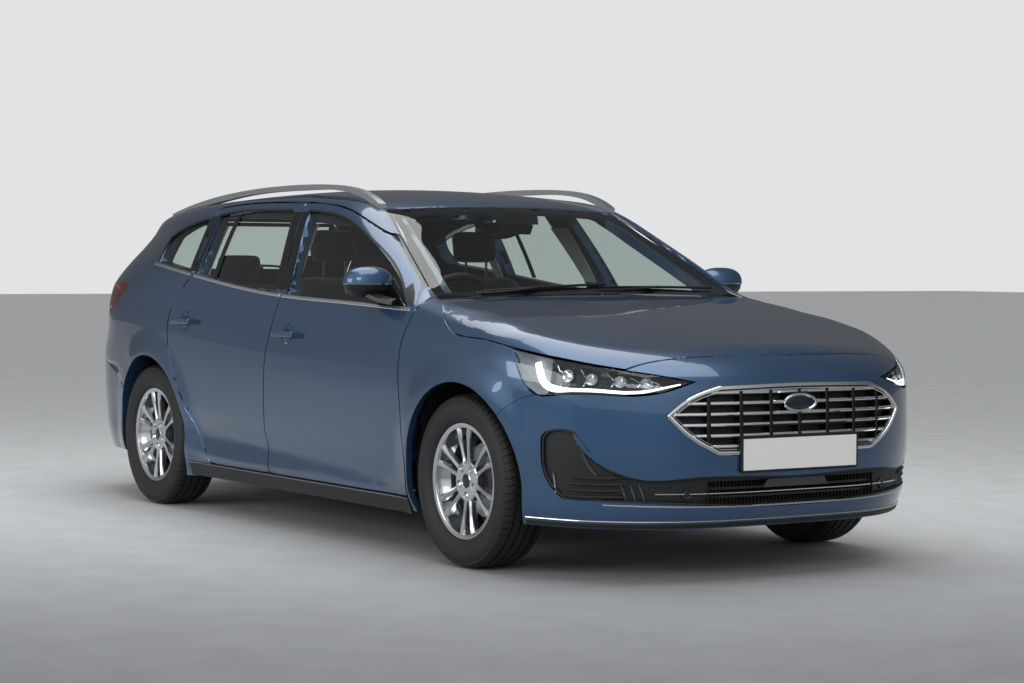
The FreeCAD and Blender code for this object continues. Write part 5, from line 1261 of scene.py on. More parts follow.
@dataclass
class UpperGrille:
    """Chrome-framed six-cornered grille with strips broken by uprights and a bare oval badge."""

    first: float = 483.0
    pitch: float = 38.0
    slats: int = 6
    post_pitch: float = 130.0
    badge_place: float = 636.0
    badge: tuple[float, float] = (76.0, 33.0)
    top: tuple[tuple[float, float], ...] = ((345, 702), (0, 708), (-345, 702))
    side: tuple[tuple[float, float], ...] = ((352, 458), (470, 528), (537, 598), (470, 655), (345, 702))

    def edges(self) -> list[list[tuple[float, float]]]:
        """Return the outline's edges, anticlockwise seen from in front."""
        right = list(self.side)
        left = [(-y, z) for y, z in right[::-1]]
        return [right[:3], right[2:], list(self.top), left[:3], left[2:], [left[-1], right[0]]]

    def half_width(self, z: float) -> float:
        """Return the opening's half width at a height."""
        return float(np.interp(z, [p[1] for p in self.side], [p[0] for p in self.side]))

    def span(self, y: float) -> tuple[float, float]:
        """Return the opening's lowest and highest places at a half width."""
        y = abs(y)
        return (float(np.interp(y, [352, 470, 537], [458, 528, 598])),
                float(np.interp(y, [0, 345, 470, 537], [708, 702, 655, 598])))

    def frame(self) -> None:
        """Draw the bright frame with a dark channel and a thin inner edge."""
        outline = SKIN.front(widened(ring(self.edges(), 13), -11))
        put("grille_frame", strip("grille_frame", outline, [(-11, -22), (-11, 1.5), (-8.5, 4.2), (-3, 4.9), (2, 4),
                                                            (4, 0), (4, -22)], True),
            ChromePlate(), instead=["grille"])
        put("grille_channel", strip("grille_channel", outline, [(4, -22), (4, -4), (7, -4), (7, -22)], True),
            GlossPlastic())
        edge = [(7, -22), (7, -0.5), (8.5, 1.5), (10.5, 0), (11, -22)]
        put("grille_edge", strip("grille_edge", outline, edge, True),
            ChromePlate())

    def lay_slats(self) -> None:
        """Lay each dark slat and the bright strips along its top edge."""
        dark, bright = [], []
        posts = [self.post_pitch * k for k in range(-4, 5)]
        for i in range(self.slats):
            z = self.first + self.pitch * i
            half = self.half_width(z + 4) - 18
            row = np.column_stack([np.linspace(-half, half, 41), np.full(41, z)])
            dark.append(strip("slat", SKIN.front(row),
                              [(-4, -36), (-5, -12), (-3, -8), (9, -7), (11, -10), (9, -36)]))
            for a, b in zip(posts[:-1], posts[1:]):
                a, b = max(a + 8, -half), min(b - 8, half)
                if b - a > 25:
                    part = np.column_stack([np.linspace(a, b, 9), np.full(9, z)])
                    bright.append(strip("strip", SKIN.front(part), [(1, -9), (1.5, -4.5), (4, -2.4), (9.5, -2.8),
                                                                    (11.5, -5), (11.5, -9)]))
        put("grille_slats", joined("grille_slats", dark), GlossPlastic("0b0c0d", 0.3))
        put("grille_strips", joined("grille_strips", bright), ChromePlate())

    def uprights(self) -> None:
        """Stand the dark uprights and close the space behind with a back plate."""
        bars = []
        for k in range(-3, 4):
            low, high = self.span(self.post_pitch * k)
            column = np.column_stack([np.full(13, self.post_pitch * k), np.linspace(low + 14, high - 14, 13)])
            bars.append(strip("upright", SKIN.front(column), [(-5, -36), (-5, -6), (-3, -4.5), (3, -4.5), (5, -6),
                                                              (5, -36)]))
        put("grille_uprights", joined("grille_uprights", bars), GlossPlastic("0b0c0d", 0.35))
        across = np.linspace(-515, 515, 61)
        edge = np.array([self.span(y) for y in across])
        low = np.column_stack([across, edge[:, 0] + 6])
        high = np.column_stack([across, edge[:, 1] - 6])
        points = SKIN.front(between(low, high, 9).reshape(-1, 2)).reshape(61, 9, 3)
        put("grille_back", cover("grille_back", points, -37, 39), MouldedPlastic("0a0b0c"))

    def oval(self) -> None:
        """Mount the bare badge: a bright rim round a dark domed oval."""
        wide, high = self.badge
        turns = np.arange(72) * 2 * math.pi / 72
        line = np.column_stack([np.full(72, 2326.0), wide * np.cos(turns),
                                self.badge_place + high * np.sin(turns)])
        out = np.tile((1.0, 0.0, 0.0), (72, 1))
        rim = [(-1, -26), (-1, 3), (1, 6), (6, 6.5), (9, 3), (9, -26)]
        put("badge_rim", sweep("badge_rim", line, out, rim, True),
            ChromePlate())
        shares = np.linspace(0.0, 1.0, 9)
        rows = [np.column_stack([2326 + 4.5 * (1 - s ** 2) * np.ones(72), (wide - 7) * s * np.cos(turns),
                                 self.badge_place + (high - 7) * s * np.sin(turns)]) for s in shares]
        rows += [np.column_stack([np.full(72, 2304.0), (wide - 7) * s * np.cos(turns),
                                  self.badge_place + (high - 7) * s * np.sin(turns)]) for s in (1.0, 0.0)]
        dome = solid_mesh("badge_dome", np.concatenate(rows), grid_faces(len(rows), 72, False, True), 34, 0.01)
        put("badge_dome", dome, GlossPlastic("1c2733"))

    def plate_holder(self) -> None:
        """Frame the plate with its black holder."""
        low, high = (np.array(corner) * 1000 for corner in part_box("number_plate_front"))
        y0, y1, z0, z1 = low[1] - 5, high[1] + 5, low[2] - 5, high[2] + 5
        line = ring([[(y1, z0), (y1, z1)], [(y1, z1), (y0, z1)], [(y0, z1), (y0, z0)], [(y0, z0), (y1, z0)]], 7)
        path = np.column_stack([np.full(len(line), 2329.0), line])
        out = np.tile((1.0, 0.0, 0.0), (len(path), 1))
        put("plate_holder", sweep("plate_holder", path, out, [(-4.5, -26), (-4.5, 2), (-3, 4), (3, 4), (4.6, 2),
                                                              (4.6, -26)], True), MouldedPlastic("101112"))

    def build(self) -> None:
        """Build the grille and what is mounted on it."""
        self.frame()
        self.lay_slats()
        self.uprights()
        self.oval()
        self.plate_holder()


@dataclass
class LowerFront:
    """Lower intake, side bezels, sensors, light fins, skirt and its bright line."""

    intake_half: float = 560.0
    line_height: float = 322.0
    skirt_height: float = 208.0
    fins: int = 24

    def round_nose(self, z: float, spread: float = 69.5) -> np.ndarray:
        """Return points at a height from the left arch round the nose to the right arch."""
        turns = np.radians(np.linspace(spread, -spread, 91))
        ways = np.column_stack([np.cos(turns), np.sin(turns), np.zeros(91)])
        return SKIN.hit(np.tile((1500.0, 0.0, z), (91, 1)), ways)

    def intake(self) -> None:
        """Fill the intake: net fins, bright line, grey middle panel and lower line."""
        fin = sheet("fin", np.array([[(2284, 0, 284), (2284, 0, 368)], [(2262, 0, 284), (2262, 0, 368)]], float),
                    np.array([[(2284, 3, 284), (2284, 3, 368)], [(2262, 3, 284), (2262, 3, 368)]], float))
        fin.transform(Matrix.Translation((0, -0.3795, 0)))
        put("intake_fins", Repeat.spread(fin, MouldedPlastic("0c0d0e"), self.fins * 2, (0, 0, 0), (0, 0.0162, 0)),
            MouldedPlastic("0c0d0e"))
        half = self.intake_half
        middle = SKIN.front([(y, self.line_height) for y in np.linspace(-half, half, 61)])
        put("intake_line", strip("intake_line", middle, [(-3, -16), (-3, -9), (-1.5, -7), (1.5, -7), (3, -9),
                                                         (3, -16)]), ChromePlate())
        low = SKIN.front([(y, 272 + 10 * (abs(y) / 700) ** 2) for y in np.linspace(-700, 700, 61)])
        bar = [(-3, -10), (-3, -1), (-1, 0.8), (2, 0.8), (4, -1), (4, -10)]
        put("intake_lower_line", strip("intake_lower_line", low, bar), AnodisedAluminium())
        rows = SKIN.front(between(np.column_stack([np.linspace(-150, 150, 21), np.full(21, 336.0)]),
                                  np.column_stack([np.linspace(-128, 128, 21), np.full(21, 366.0)]),
                                  5).reshape(-1, 2)).reshape(21, 5, 3)
        put("intake_panel", cover("intake_panel", rows, -8, 16), MouldedPlastic("3a3c3f", 1.6, 0.45))

    def pods(self) -> None:
        """Seat the round sensors and the slanted light fins on each side."""
        pod = revolve("pod", [(0, 3), (9, 2.5), (12, 0), (15, 1), (19, 1), (21, -3), (21, -26), (0, -26)], 48)
        pod.transform(Matrix.Rotation(math.radians(-90), 4, "Z"))
        spots = [(455, 322.0, -9.0), (-455, 322.0, -9.0), (782, 505.0, -16.0), (-782, 505.0, -16.0)]
        meshes = []
        for y, z, out in spots:
            point = SKIN.front([(y, z)])
            normal = SKIN.gradient(point)[0]
            copy = pod.copy()
            turn = math.atan2(normal[1], normal[0])
            copy.transform(Matrix.Translation(Vector((point[0] + normal * out) * MM))
                           @ Matrix.Rotation(turn, 4, "Z"))
            meshes.append(copy)
        put("nose_sensors", joined("nose_sensors", meshes), GlossPlastic("1a1b1c", 0.25))
        bars = []
        for side, _ in SIDES:
            for k in range(3):
                line = SKIN.front([(side * (590 + 26 * k + 22 * t), 300 + 62 * t) for t in np.linspace(0, 1, 7)])
                bars.append(strip("light_fin", line, [(-4, -16), (-4, -8), (0, -5), (4, -8), (4, -16)],
                                  taper=[0.4, 0.8, 1, 1, 1, 0.8, 0.4]))
        put("light_fins", joined("light_fins", bars), AnodisedAluminium("6f7377"))

    def bezels(self) -> None:
        """Draw each side bezel's rim, inner ledge, blades and bright end cap."""
        right = [(0, 266), (385, 280), (787, 298), (812, 350), (828, 430), (832, 512), (819, 541), (774, 540),
                 (751, 510), (738, 462), (680, 398), (469, 380), (0, 376)]
        low = [(-y, z) for y, z in right[2:0:-1]] + right[:3]
        inner = right[7:] + [(-y, z) for y, z in right[-2:6:-1]]
        caps = [right[5:8], [(-y, z) for y, z in right[7:4:-1]]]
        opening = [low, right[2:6], caps[0], inner, caps[1], [(-y, z) for y, z in right[5:1:-1]]]
        edge = SKIN.front([tuple(p) for p in widened(ring(opening, 5), -3)])
        put("lower_opening_rim", strip("lower_opening_rim", edge, [(-4, -16), (-4, -2), (-2, 0.5), (2, 0.5), (4, -2),
                                                                  (4, -16)], True),
            MouldedPlastic("17181a", 1.4, 0.42))
        for side, label in SIDES:
            blades = []
            for k in range(4):
                z = 312 + 23 * k
                out = 792 - 6 * k
                row = SKIN.front([(side * y, z - 5 * math.sin((y - 640) / 60)) for y in np.linspace(640, out, 15)])
                blades.append(strip("blade", row, [(-5, -16), (-6, -7), (0, -2.5), (5, -5), (5, -16)],
                                    taper=np.concatenate([np.linspace(0.3, 1, 5), np.ones(10)])))
            put("bezel_blades_" + label, joined("bezel_blades_" + label, blades), GlossPlastic("0e0f10", 0.22))
            cap = SKIN.front([(side * (800 + 8 * t), 318 + 70 * t) for t in np.linspace(0, 1, 9)])
            put("bezel_cap_" + label, strip("bezel_cap_" + label, cap, [(-3, -14), (-3, -4), (0, -1.2), (3, -4),
                                                                      (3, -14)],
                                            taper=[0.5, 0.9, 1, 1, 1, 1, 1, 0.9, 0.5]),
                AnodisedAluminium("d0d3d6", 0.2))
            ledge = SKIN.front([(side * (765 - 40 * t ** 2), 500 - 118 * t) for t in np.linspace(0, 1, 17)])
            put("bezel_ledge_" + label, strip("bezel_ledge_" + label, ledge, [(-9, -16), (-8, -9), (0, -5), (8, -9),
                                                                            (9, -16)]),
                MouldedPlastic("202124", 1.4, 0.5))

    def skirt(self) -> None:
        """Run the black skirt and its bright front line from arch to arch."""
        put("nose_skirt", strip("nose_skirt", self.round_nose(self.skirt_height),
                                [(-8, -10), (-8, 0.5), (-6, 2), (8, 2.5), (10, 1), (10, -10)]),
            MouldedPlastic("131415", 1.4, 0.5))
        put("skirt_line", strip("skirt_line", self.round_nose(223), [(-2.5, -6), (-2.5, 1.5), (0, 3), (2.5, 1.5),
                                                                          (2.5, -6)]),
            AnodisedAluminium("c9ccd0", 0.22))

    def build(self) -> None:
        """Build everything below the grille."""
        self.intake()
        self.pods()
        self.bezels()
        self.skirt()


@dataclass
class Headlamp:
    """Swept headlamp: clear lens, pale outer reflector, white light guide and bright blades."""

    top: tuple[tuple[float, float], ...] = ((1743, 823), (1885, 800), (2007, 777), (2111, 758), (2218, 736),
                                            (2272, 716))
    low: tuple[tuple[float, float], ...] = ((1743, 823), (1789, 762), (1836, 694), (1894, 662), (1975, 666),
                                            (2139, 668), (2236, 679), (2272, 716))
    guide: tuple[tuple[float, float], ...] = ((1872, 779), (1890, 738), (1913, 704), (1945, 689), (1995, 685),
                                              (2100, 684), (2205, 684), (2236, 697), (2258, 711))
    blades: tuple[float, ...] = (1948, 2022, 2098, 2158, 2196)

    def height(self, line: Sequence[tuple[float, float]], x: float) -> float:
        """Return a border line's height at a station."""
        return float(np.interp(x, [p[0] for p in line], [p[1] for p in line]))

    def grid(self, first: float, last: float, rows: int, columns: int, side: int, inset: float) -> np.ndarray:
        """Return skin points over a length of the lamp, kept in from its borders."""
        flat = []
        for x in np.linspace(first, last, rows):
            low, high = self.height(self.low, x) + inset, self.height(self.top, x) - inset
            middle = (low + high) / 2
            low, high = min(low, middle - 0.5), max(high, middle + 0.5)
            flat.extend((x, low + (high - low) * t) for t in np.linspace(0, 1, columns))
        return SKIN.side(flat, side).reshape(rows, columns, 3)

    def bowl(self, name: str, points: np.ndarray, deepest: float, ends: tuple[bool, bool]) -> bpy.types.Mesh:
        """Sink a grid of skin points into a bowl that rises to the lens at its borders."""
        rows, columns = points.shape[:2]
        along = np.linspace(0, 1, rows)[:, None]
        across = np.abs(np.linspace(-1, 1, columns))[None, :]
        rise = across ** 6
        if ends[0]:
            rise = np.maximum(rise, (1 - along) ** 8)
        if ends[1]:
            rise = np.maximum(rise, along ** 8)
        depth = (4 + (deepest - 4) * (1 - rise)).reshape(-1, 1)
        flat = points.reshape(-1, 3)
        normals = SKIN.gradient(flat)
        outer = (flat - normals * depth).reshape(points.shape)
        inner = (flat - normals * (depth + 3)).reshape(points.shape)
        return sheet(name, outer, inner)

    def build_side(self, side: int, label: str) -> None:
        """Build the lamp of one side."""
        lens = self.grid(1746, 2269, 60, 13, side, 0.6)
        put("headlamp_lens_" + label, cover("headlamp_lens_" + label, lens, 0.0, 2.5), WindowGlass("f4f7f8", 0.97),
            instead=["headlamps"])
        outer = self.grid(1750, 1925, 26, 13, side, 2.0)
        put("headlamp_reflector_" + label, self.bowl("headlamp_reflector_" + label, outer, 26, (True, False)),
            GlossPlastic("8d9296", 0.25))
        inner = self.grid(1925, 2264, 44, 13, side, 2.0)
        put("headlamp_housing_" + label, self.bowl("headlamp_housing_" + label, inner, 46, (False, True)),
            GlossPlastic("0c0d0e", 0.16))
        path = SKIN.side([tuple(p) for p in through(self.guide, 60)], side)
        run = np.linspace(0, 1, 60)
        wide = np.interp(run, [0, 0.08, 0.3, 0.42, 0.85, 1.0], [0.95, 1.1, 1.0, 0.55, 0.42, 0.2])
        put("headlamp_guide_" + label, strip("headlamp_guide_" + label, path, [(-12, -7), (-12, -1), (-9, 1), (9, 1),
                                                                              (12, -1), (12, -7)],
                                             depth=8, taper=wide), Glow())
        fins = []
        for k, x in enumerate(self.blades):
            high = self.height(self.top, x) - 12
            low = 700.0
            curve = [(x + 26 * t + 14 * math.sin(math.pi * t), high + (low - high) * t)
                     for t in np.linspace(0, 1, 13)]
            line = SKIN.side(curve, side)
            fins.append(strip("blade", line, [(-2.2, -34), (-2.6, -8), (0, -5), (2.6, -8), (2.2, -34)], depth=6))
            middle = SKIN.side([(x + 42, (high + low) / 2 - 2)], side)
            normal = SKIN.gradient(middle)[0]
            cup = revolve("cup", [(0, -10), (11, -9), (17, -3), (20, 4), (21.5, 4), (20, -8), (0, -16)], 40)
            cup.transform(Matrix.Translation(Vector((middle[0] - normal * 24) * MM))
                          @ Vector((0, 1, 0)).rotation_difference(Vector(normal)).to_matrix().to_4x4())
            if k < 4:
                fins.append(cup)
        put("headlamp_blades_" + label, joined("headlamp_blades_" + label, fins), ChromePlate("d9dcdf", 0.1))

    def build(self) -> None:
        """Build both lamps."""
        for side, label in SIDES:
            self.build_side(side, label)


@dataclass
class SideTrim:
    """Belt strip, pillar covers, window seals, sill cladding and the corner by the mirror."""

    belt_section: tuple[tuple[float, float], ...] = ((-7, -2), (-7, 1.6), (-5, 3.4), (4, 4.2), (7, 2.2), (7, -2))
    seal: float = 11.0
    front_top: tuple[tuple[float, float], ...] = ((815, 1072), (505, 1219), (215, 1309), (0, 1334), (-102, 1341))
    rear_top: tuple[tuple[float, float], ...] = ((-228, 1344), (-500, 1347), (-760, 1339), (-862, 1328))
    split: tuple[tuple[float, float], ...] = ((-165, 1376), (-75, 1150), (-25, 999))
    door_top: tuple[tuple[float, float], ...] = ((-165, 1376), (0, 1368), (215, 1342), (505, 1254), (815, 1110),
                                                 (960, 1016), (1043, 948))

    @staticmethod
    def over_belt(first: float, last: float) -> list[tuple[float, float]]:
        """Return the glass line a little over the belt."""
        xs = np.linspace(first, last, 7)
        return [(float(x), float(z) + 16) for x, z in zip(xs, SKIN.belt(xs))]

    def windows(self) -> dict[str, list[list[tuple[float, float]]]]:
        """Return each window's edges, anticlockwise seen from the right side."""
        front, rear, quarter = self.over_belt(30, 980), self.over_belt(-842, -88), self.over_belt(-1310, -922)
        return {
            "front_door": [front, [front[-1], *self.front_top], [(-102, 1341), (-22, 1150), front[0]]],
            "rear_door": [rear, [rear[-1], (-140, 1150), (-228, 1344)], list(self.rear_top),
                          [(-862, 1328), (-853, 1240), rear[0]]],
            "quarter": [quarter, [quarter[-1], (-928, 1210), (-938, 1316)],
                        [(-938, 1316), (-1130, 1285), (-1325, 1232)], [(-1325, 1232), (-1336, 1190), quarter[0]]]}

    @staticmethod
    def at_height(line: Sequence[tuple[float, float]], heights: np.ndarray) -> np.ndarray:
        """Return a line's stations at some heights."""
        order = sorted(line, key=lambda p: p[1])
        return np.interp(heights, [p[1] for p in order], [p[0] for p in order])

    def pillar(self, name: str, ahead: np.ndarray, behind: np.ndarray, heights: np.ndarray, side: int,
               body: str, rise: float = 0.9) -> None:
        """Cover a pillar between two lines in side view."""
        flat = between(np.column_stack([ahead, heights]), np.column_stack([behind, heights]), 5)
        points = SKIN.side([tuple(p) for p in flat.reshape(-1, 2)], side).reshape(len(heights), 5, 3)
        put(name, cover(name, points, rise, 2.5 - min(0.0, rise)), GlossPlastic("0b0c0e", 0.14), body)

    def build_side(self, side: int, label: str) -> None:
        """Build the trim of one side."""
        homes = {"front_door": "front_door_" + label, "rear_door": "rear_door_" + label, "quarter": BODY}
        for name, edges in self.windows().items():
            flat = widened(ring(edges, 14), self.seal / 2 - 1)
            line = SKIN.side([tuple(p) for p in flat], side)
            half = self.seal / 2
            put("%s_seal_%s" % (name, label), strip("seal", line, [(-half, -4), (-half, 0.4), (1 - half, 1.2),
                                                                  (half - 1, 1.2), (half, 0.4), (half, -4)], True),
                MouldedPlastic("0e0f10", 1.4, 0.4), homes[name])
        for name, first, last in (("front_door", -10, 1006), ("rear_door", -860, -37), ("quarter", -1338, -890)):
            xs = np.linspace(first, last, 44)
            line = SKIN.side(list(zip(xs, SKIN.belt(xs) + 9)), side)
            put("%s_belt_strip_%s" % (name, label), strip("belt_strip", line, self.belt_section),
                AnodisedAluminium("d3d5d8", 0.2), homes[name])
        heights = np.linspace(1010, 1338, 14)
        split = self.at_height(self.split, heights)
        front_trail = self.at_height([(32, 1010), (-22, 1150), (-102, 1341)], heights)
        self.pillar("front_pillar_cover_" + label, split + 5, front_trail + 2, heights, side,
                    homes["front_door"], 3.0)
        rear_lead = self.at_height([(-92, 1010), (-140, 1150), (-228, 1344)], heights)
        self.pillar("rear_pillar_cover_" + label, rear_lead + 9, split - 5, heights, side, homes["rear_door"])
        heights = np.linspace(1080, 1326, 12)
        trail = self.at_height([(-843, 1066), (-853, 1240), (-862, 1328)], heights)
        door = self.at_height([(-874, 1090), (-893, 1260), (-905, 1362)], heights)
        self.pillar("rear_corner_cover_" + label, door + 5, trail - 9, heights, side, homes["rear_door"])
        lead = self.at_height([(-924, 1090), (-928, 1210), (-938, 1316)], heights)
        self.pillar("quarter_cover_" + label, lead + 9, door - 5, heights, side, BODY)
        heights = np.linspace(1054, 1338, 12)
        middle = -668 - 0.06 * (heights - 1054)
        self.pillar("rear_division_" + label, middle - 17, middle + 17, heights, side, homes["rear_door"], -3.0)
        for name, first, last, foot in (("front_door", 70, 950, 300), ("rear_door", -640, -150, 330)):
            xs = np.linspace(first, last, 24)
            flat = between(np.column_stack([xs, np.full(24, foot)]), np.column_stack([xs, SKIN.belt(xs) - 20]), 12)
            points = SKIN.side([tuple(p) for p in flat.reshape(-1, 2)], side).reshape(24, 12, 3)
            put("%s_lining_%s" % (name, label), cover("lining", points, -101, 105), MouldedPlastic("1a1b1d"),
                homes[name])
        xs = np.linspace(900, 1004, 9)
        low = np.interp(xs, [815, 980, 1010], [1072, 957, 950]) + 8
        high = np.interp(xs, [p[0] for p in self.door_top], [p[1] for p in self.door_top]) - 8
        flat = between(np.column_stack([xs, low]), np.column_stack([xs, np.maximum(high, low + 2)]), 4)
        points = SKIN.side([tuple(p) for p in flat.reshape(-1, 2)], side).reshape(9, 4, 3)
        put("mirror_corner_" + label, cover("mirror_corner", points, 0.9, 2.5), MouldedPlastic("101112"),
            homes["front_door"])
        xs = np.linspace(-868, 1064, 60)
        flat = between(np.column_stack([xs, np.full(60, 166.0)]), np.column_stack([xs, np.full(60, 229.0)]), 7)
        points = SKIN.side([tuple(p) for p in flat.reshape(-1, 2)], side).reshape(60, 7, 3)
        put("sill_cladding_" + label, cover("sill_cladding", points, 2.0, 3.0), MouldedPlastic("141516", 1.4, 0.5))
        line = SKIN.side([(x, 224.0) for x in np.linspace(-866, 1062, 60)], side)
        put("sill_line_" + label, strip("sill_line", line, [(-2, 0), (-2, 3), (0, 4), (2, 3), (2, 0)]),
            AnodisedAluminium("aeb2b6", 0.3))

    def build(self) -> None:
        """Build the trim of both sides."""
        for side, label in SIDES:
            self.build_side(side, label)


@dataclass
class DoorMirror:
    """Door mirror: painted cap over a black shell, a bright line between, glass and foot."""

    centre: tuple[float, float, float] = (742.0, 875.0, 1046.0)
    radii: tuple[float, float, float] = (65.0, 103.0, 65.0)
    cut: float = 42.0
    waist: float = -6.0

    def shell(self, name: str, low: float, high: float, grow: float, power: float = 2.5) -> bpy.types.Mesh:
        """Make a slice of the housing between two heights over its centre."""
        rows = []
        a, b, c = self.radii
        turns = np.arange(72) * 2 * math.pi / 72
        levels = np.linspace(math.asin(max(-1, low / c)), math.asin(min(1, high / c)), 18)
        for level in levels:
            z = c * math.sin(level)
            size = max(0.0, 1 - abs(z / c) ** power) ** (1 / power)
            cos, sin = np.cos(turns), np.sin(turns)
            x = np.maximum(-self.cut, a * size * np.sign(cos) * np.abs(cos) ** 0.85 * grow)
            y = b * size * np.sign(sin) * np.abs(sin) ** 0.85 * grow
            rows.append(np.column_stack([x, y, np.full(72, z * min(grow, 1.0))]))
        points = np.concatenate(rows) + np.array(self.centre)
        faces = grid_faces(len(rows), 72, False, True)
        faces += [tuple(range(72)), tuple(range((len(rows) - 1) * 72, len(rows) * 72))]
        return solid_mesh(name, points, faces, 40, 0.01)

    def build(self) -> None:
        """Build both mirrors."""
        c = self.radii[2]
        cap = self.shell("cap", self.waist + 3, c * 0.998, 0.995)
        base = self.shell("base", -c * 0.998, self.waist, 0.96)
        line = self.shell("line", self.waist, self.waist + 3, 1.0)
        x, y, z = self.centre
        back = np.array([[(x - self.cut - 1, y + s * 82 * (1 - 0.1 * abs(t)), z + t * 42)
                          for t in np.linspace(-1, 1, 7)]
                         for s in np.linspace(-1, 1, 9)])
        glass = sheet("glass", back, back + np.array((3.0, 0, 0)))
        foot_line = np.array([(878, 826, 972), (850, 840, 976), (818, 858, 984), (786, 872, 996),
                              (760, 880, 1008)], float)
        up = np.tile((0.3, 0.0, 1.0), (5, 1))
        foot = sweep("foot", foot_line, up, [(-34, -6), (-30, 8), (0, 13), (30, 8), (34, -6), (0, -12)])
        for side, label in SIDES:
            body = "front_door_" + label
            for name, mesh, finish, slot, instead in (
                    ("cap", cap, Bodywork.paint, "paint", ["mirror_" + label]),
                    ("shell", base, MouldedPlastic("111214", 1.4, 0.4), "black_plastic", []),
                    ("line", line, ChromePlate(), "bright_trim", []),
                    ("glass", glass, ChromePlate("c8ced2", 0.02), "glazing", []),
                    ("foot", foot, MouldedPlastic("111214", 1.4, 0.4), "black_plastic", [])):
                put("mirror_%s_%s" % (name, label), moved(mesh, (0, 0, 0), side < 0), finish, body, instead)


@dataclass
class Glazing:
    """Black border printed on the windscreen, sensor cover, inner mirror and wipers."""

    first: float = 1058.0
    last: float = 358.0
    border: float = 46.0

    @staticmethod
    def half(x: float) -> float:
        """Return the windscreen's half width at a station."""
        return float(np.interp(x, [375, 526, 705, 866, 1034], [577, 616, 657, 694, 736])) - 4

    def band(self, name: str, stations: Sequence[float], spans: Sequence[tuple[float, float]], depth: float = 2.3,
             thick: float = 0.6, columns: int = 7) -> bpy.types.Mesh:
        """Make a thin printed band on the glass between two places across at each station."""
        flat = [(x, a + (b - a) * t) for x, (a, b) in zip(stations, spans) for t in np.linspace(0, 1, columns)]
        points = SKIN.top(flat).reshape(len(stations), columns, 3)
        return cover(name, points, -depth, depth + thick)

    def build(self) -> None:
        """Build everything on the windscreen."""
        xs = np.linspace(self.first, self.last, 36)
        bands = []
        for side, _ in SIDES:
            bands.append(self.band("edge", xs, [(side * (self.half(x) - self.border), side * self.half(x))
                                                for x in xs]))
        top = np.linspace(self.last + 62, self.last, 5)
        bands.append(self.band("top", top, [(-self.half(x), self.half(x)) for x in top], columns=33))
        foot = np.linspace(self.first, self.first - 55, 5)
        bands.append(self.band("foot", foot, [(-self.half(x), self.half(x)) for x in foot], columns=33))
        middle = np.linspace(self.last + 150, self.last + 60, 6)
        bands.append(self.band("sensor", middle, [(-90 - 0.6 * (500 - x), 90 + 0.6 * (500 - x)) for x in middle]))
        put("windscreen_border", joined("windscreen_border", bands), CeramicPrint())
        pod = self.band("pod", middle, [(-62, 62) for _ in middle], 9.0, 42.0)
        put("sensor_pod", pod, MouldedPlastic("17181a", 1.4, 0.5))
        place_at = Vector((0.318, 0.0, 1.262))
        mirror = revolve("mirror", [(0, 9), (0.8, 9), (0.97, 5), (1, 0), (0.97, -7), (0.7, -12), (0, -13)], 64)
        mirror.transform(Matrix.Translation(place_at) @ Matrix.Rotation(math.radians(90), 4, "Z")
                         @ Matrix.Diagonal((112, 1, 36, 1)))
        put("inner_mirror", mirror, GlossPlastic("0d0e10", 0.2))
        arms = []
        for start, end, lift in ((-520, 90, 0), (60, 640, 6)):
            ys = np.linspace(start, end, 25)
            blade = SKIN.top([(1020 - 32 * ((y - start) / (end - start)) ** 1.4 - lift, y) for y in ys])
            arms.append(strip("blade", blade, [(-3, 0.5), (-5, 4), (-3, 9), (3, 9), (5, 4), (3, 0.5)]))
            ys = np.linspace(start - 60, (start + end) / 2, 15)
            arm = SKIN.top([(1062 - 62 * ((y - ys[0]) / (ys[-1] - ys[0])) ** 1.6, y) for y in ys])
            arms.append(strip("arm", arm, [(-7, 9), (-6, 13), (0, 15), (6, 13), (7, 9)],
                              taper=np.linspace(1.3, 0.7, 15)))
        put("wipers", joined("wipers", arms), MouldedPlastic("101113", 1.2, 0.35))


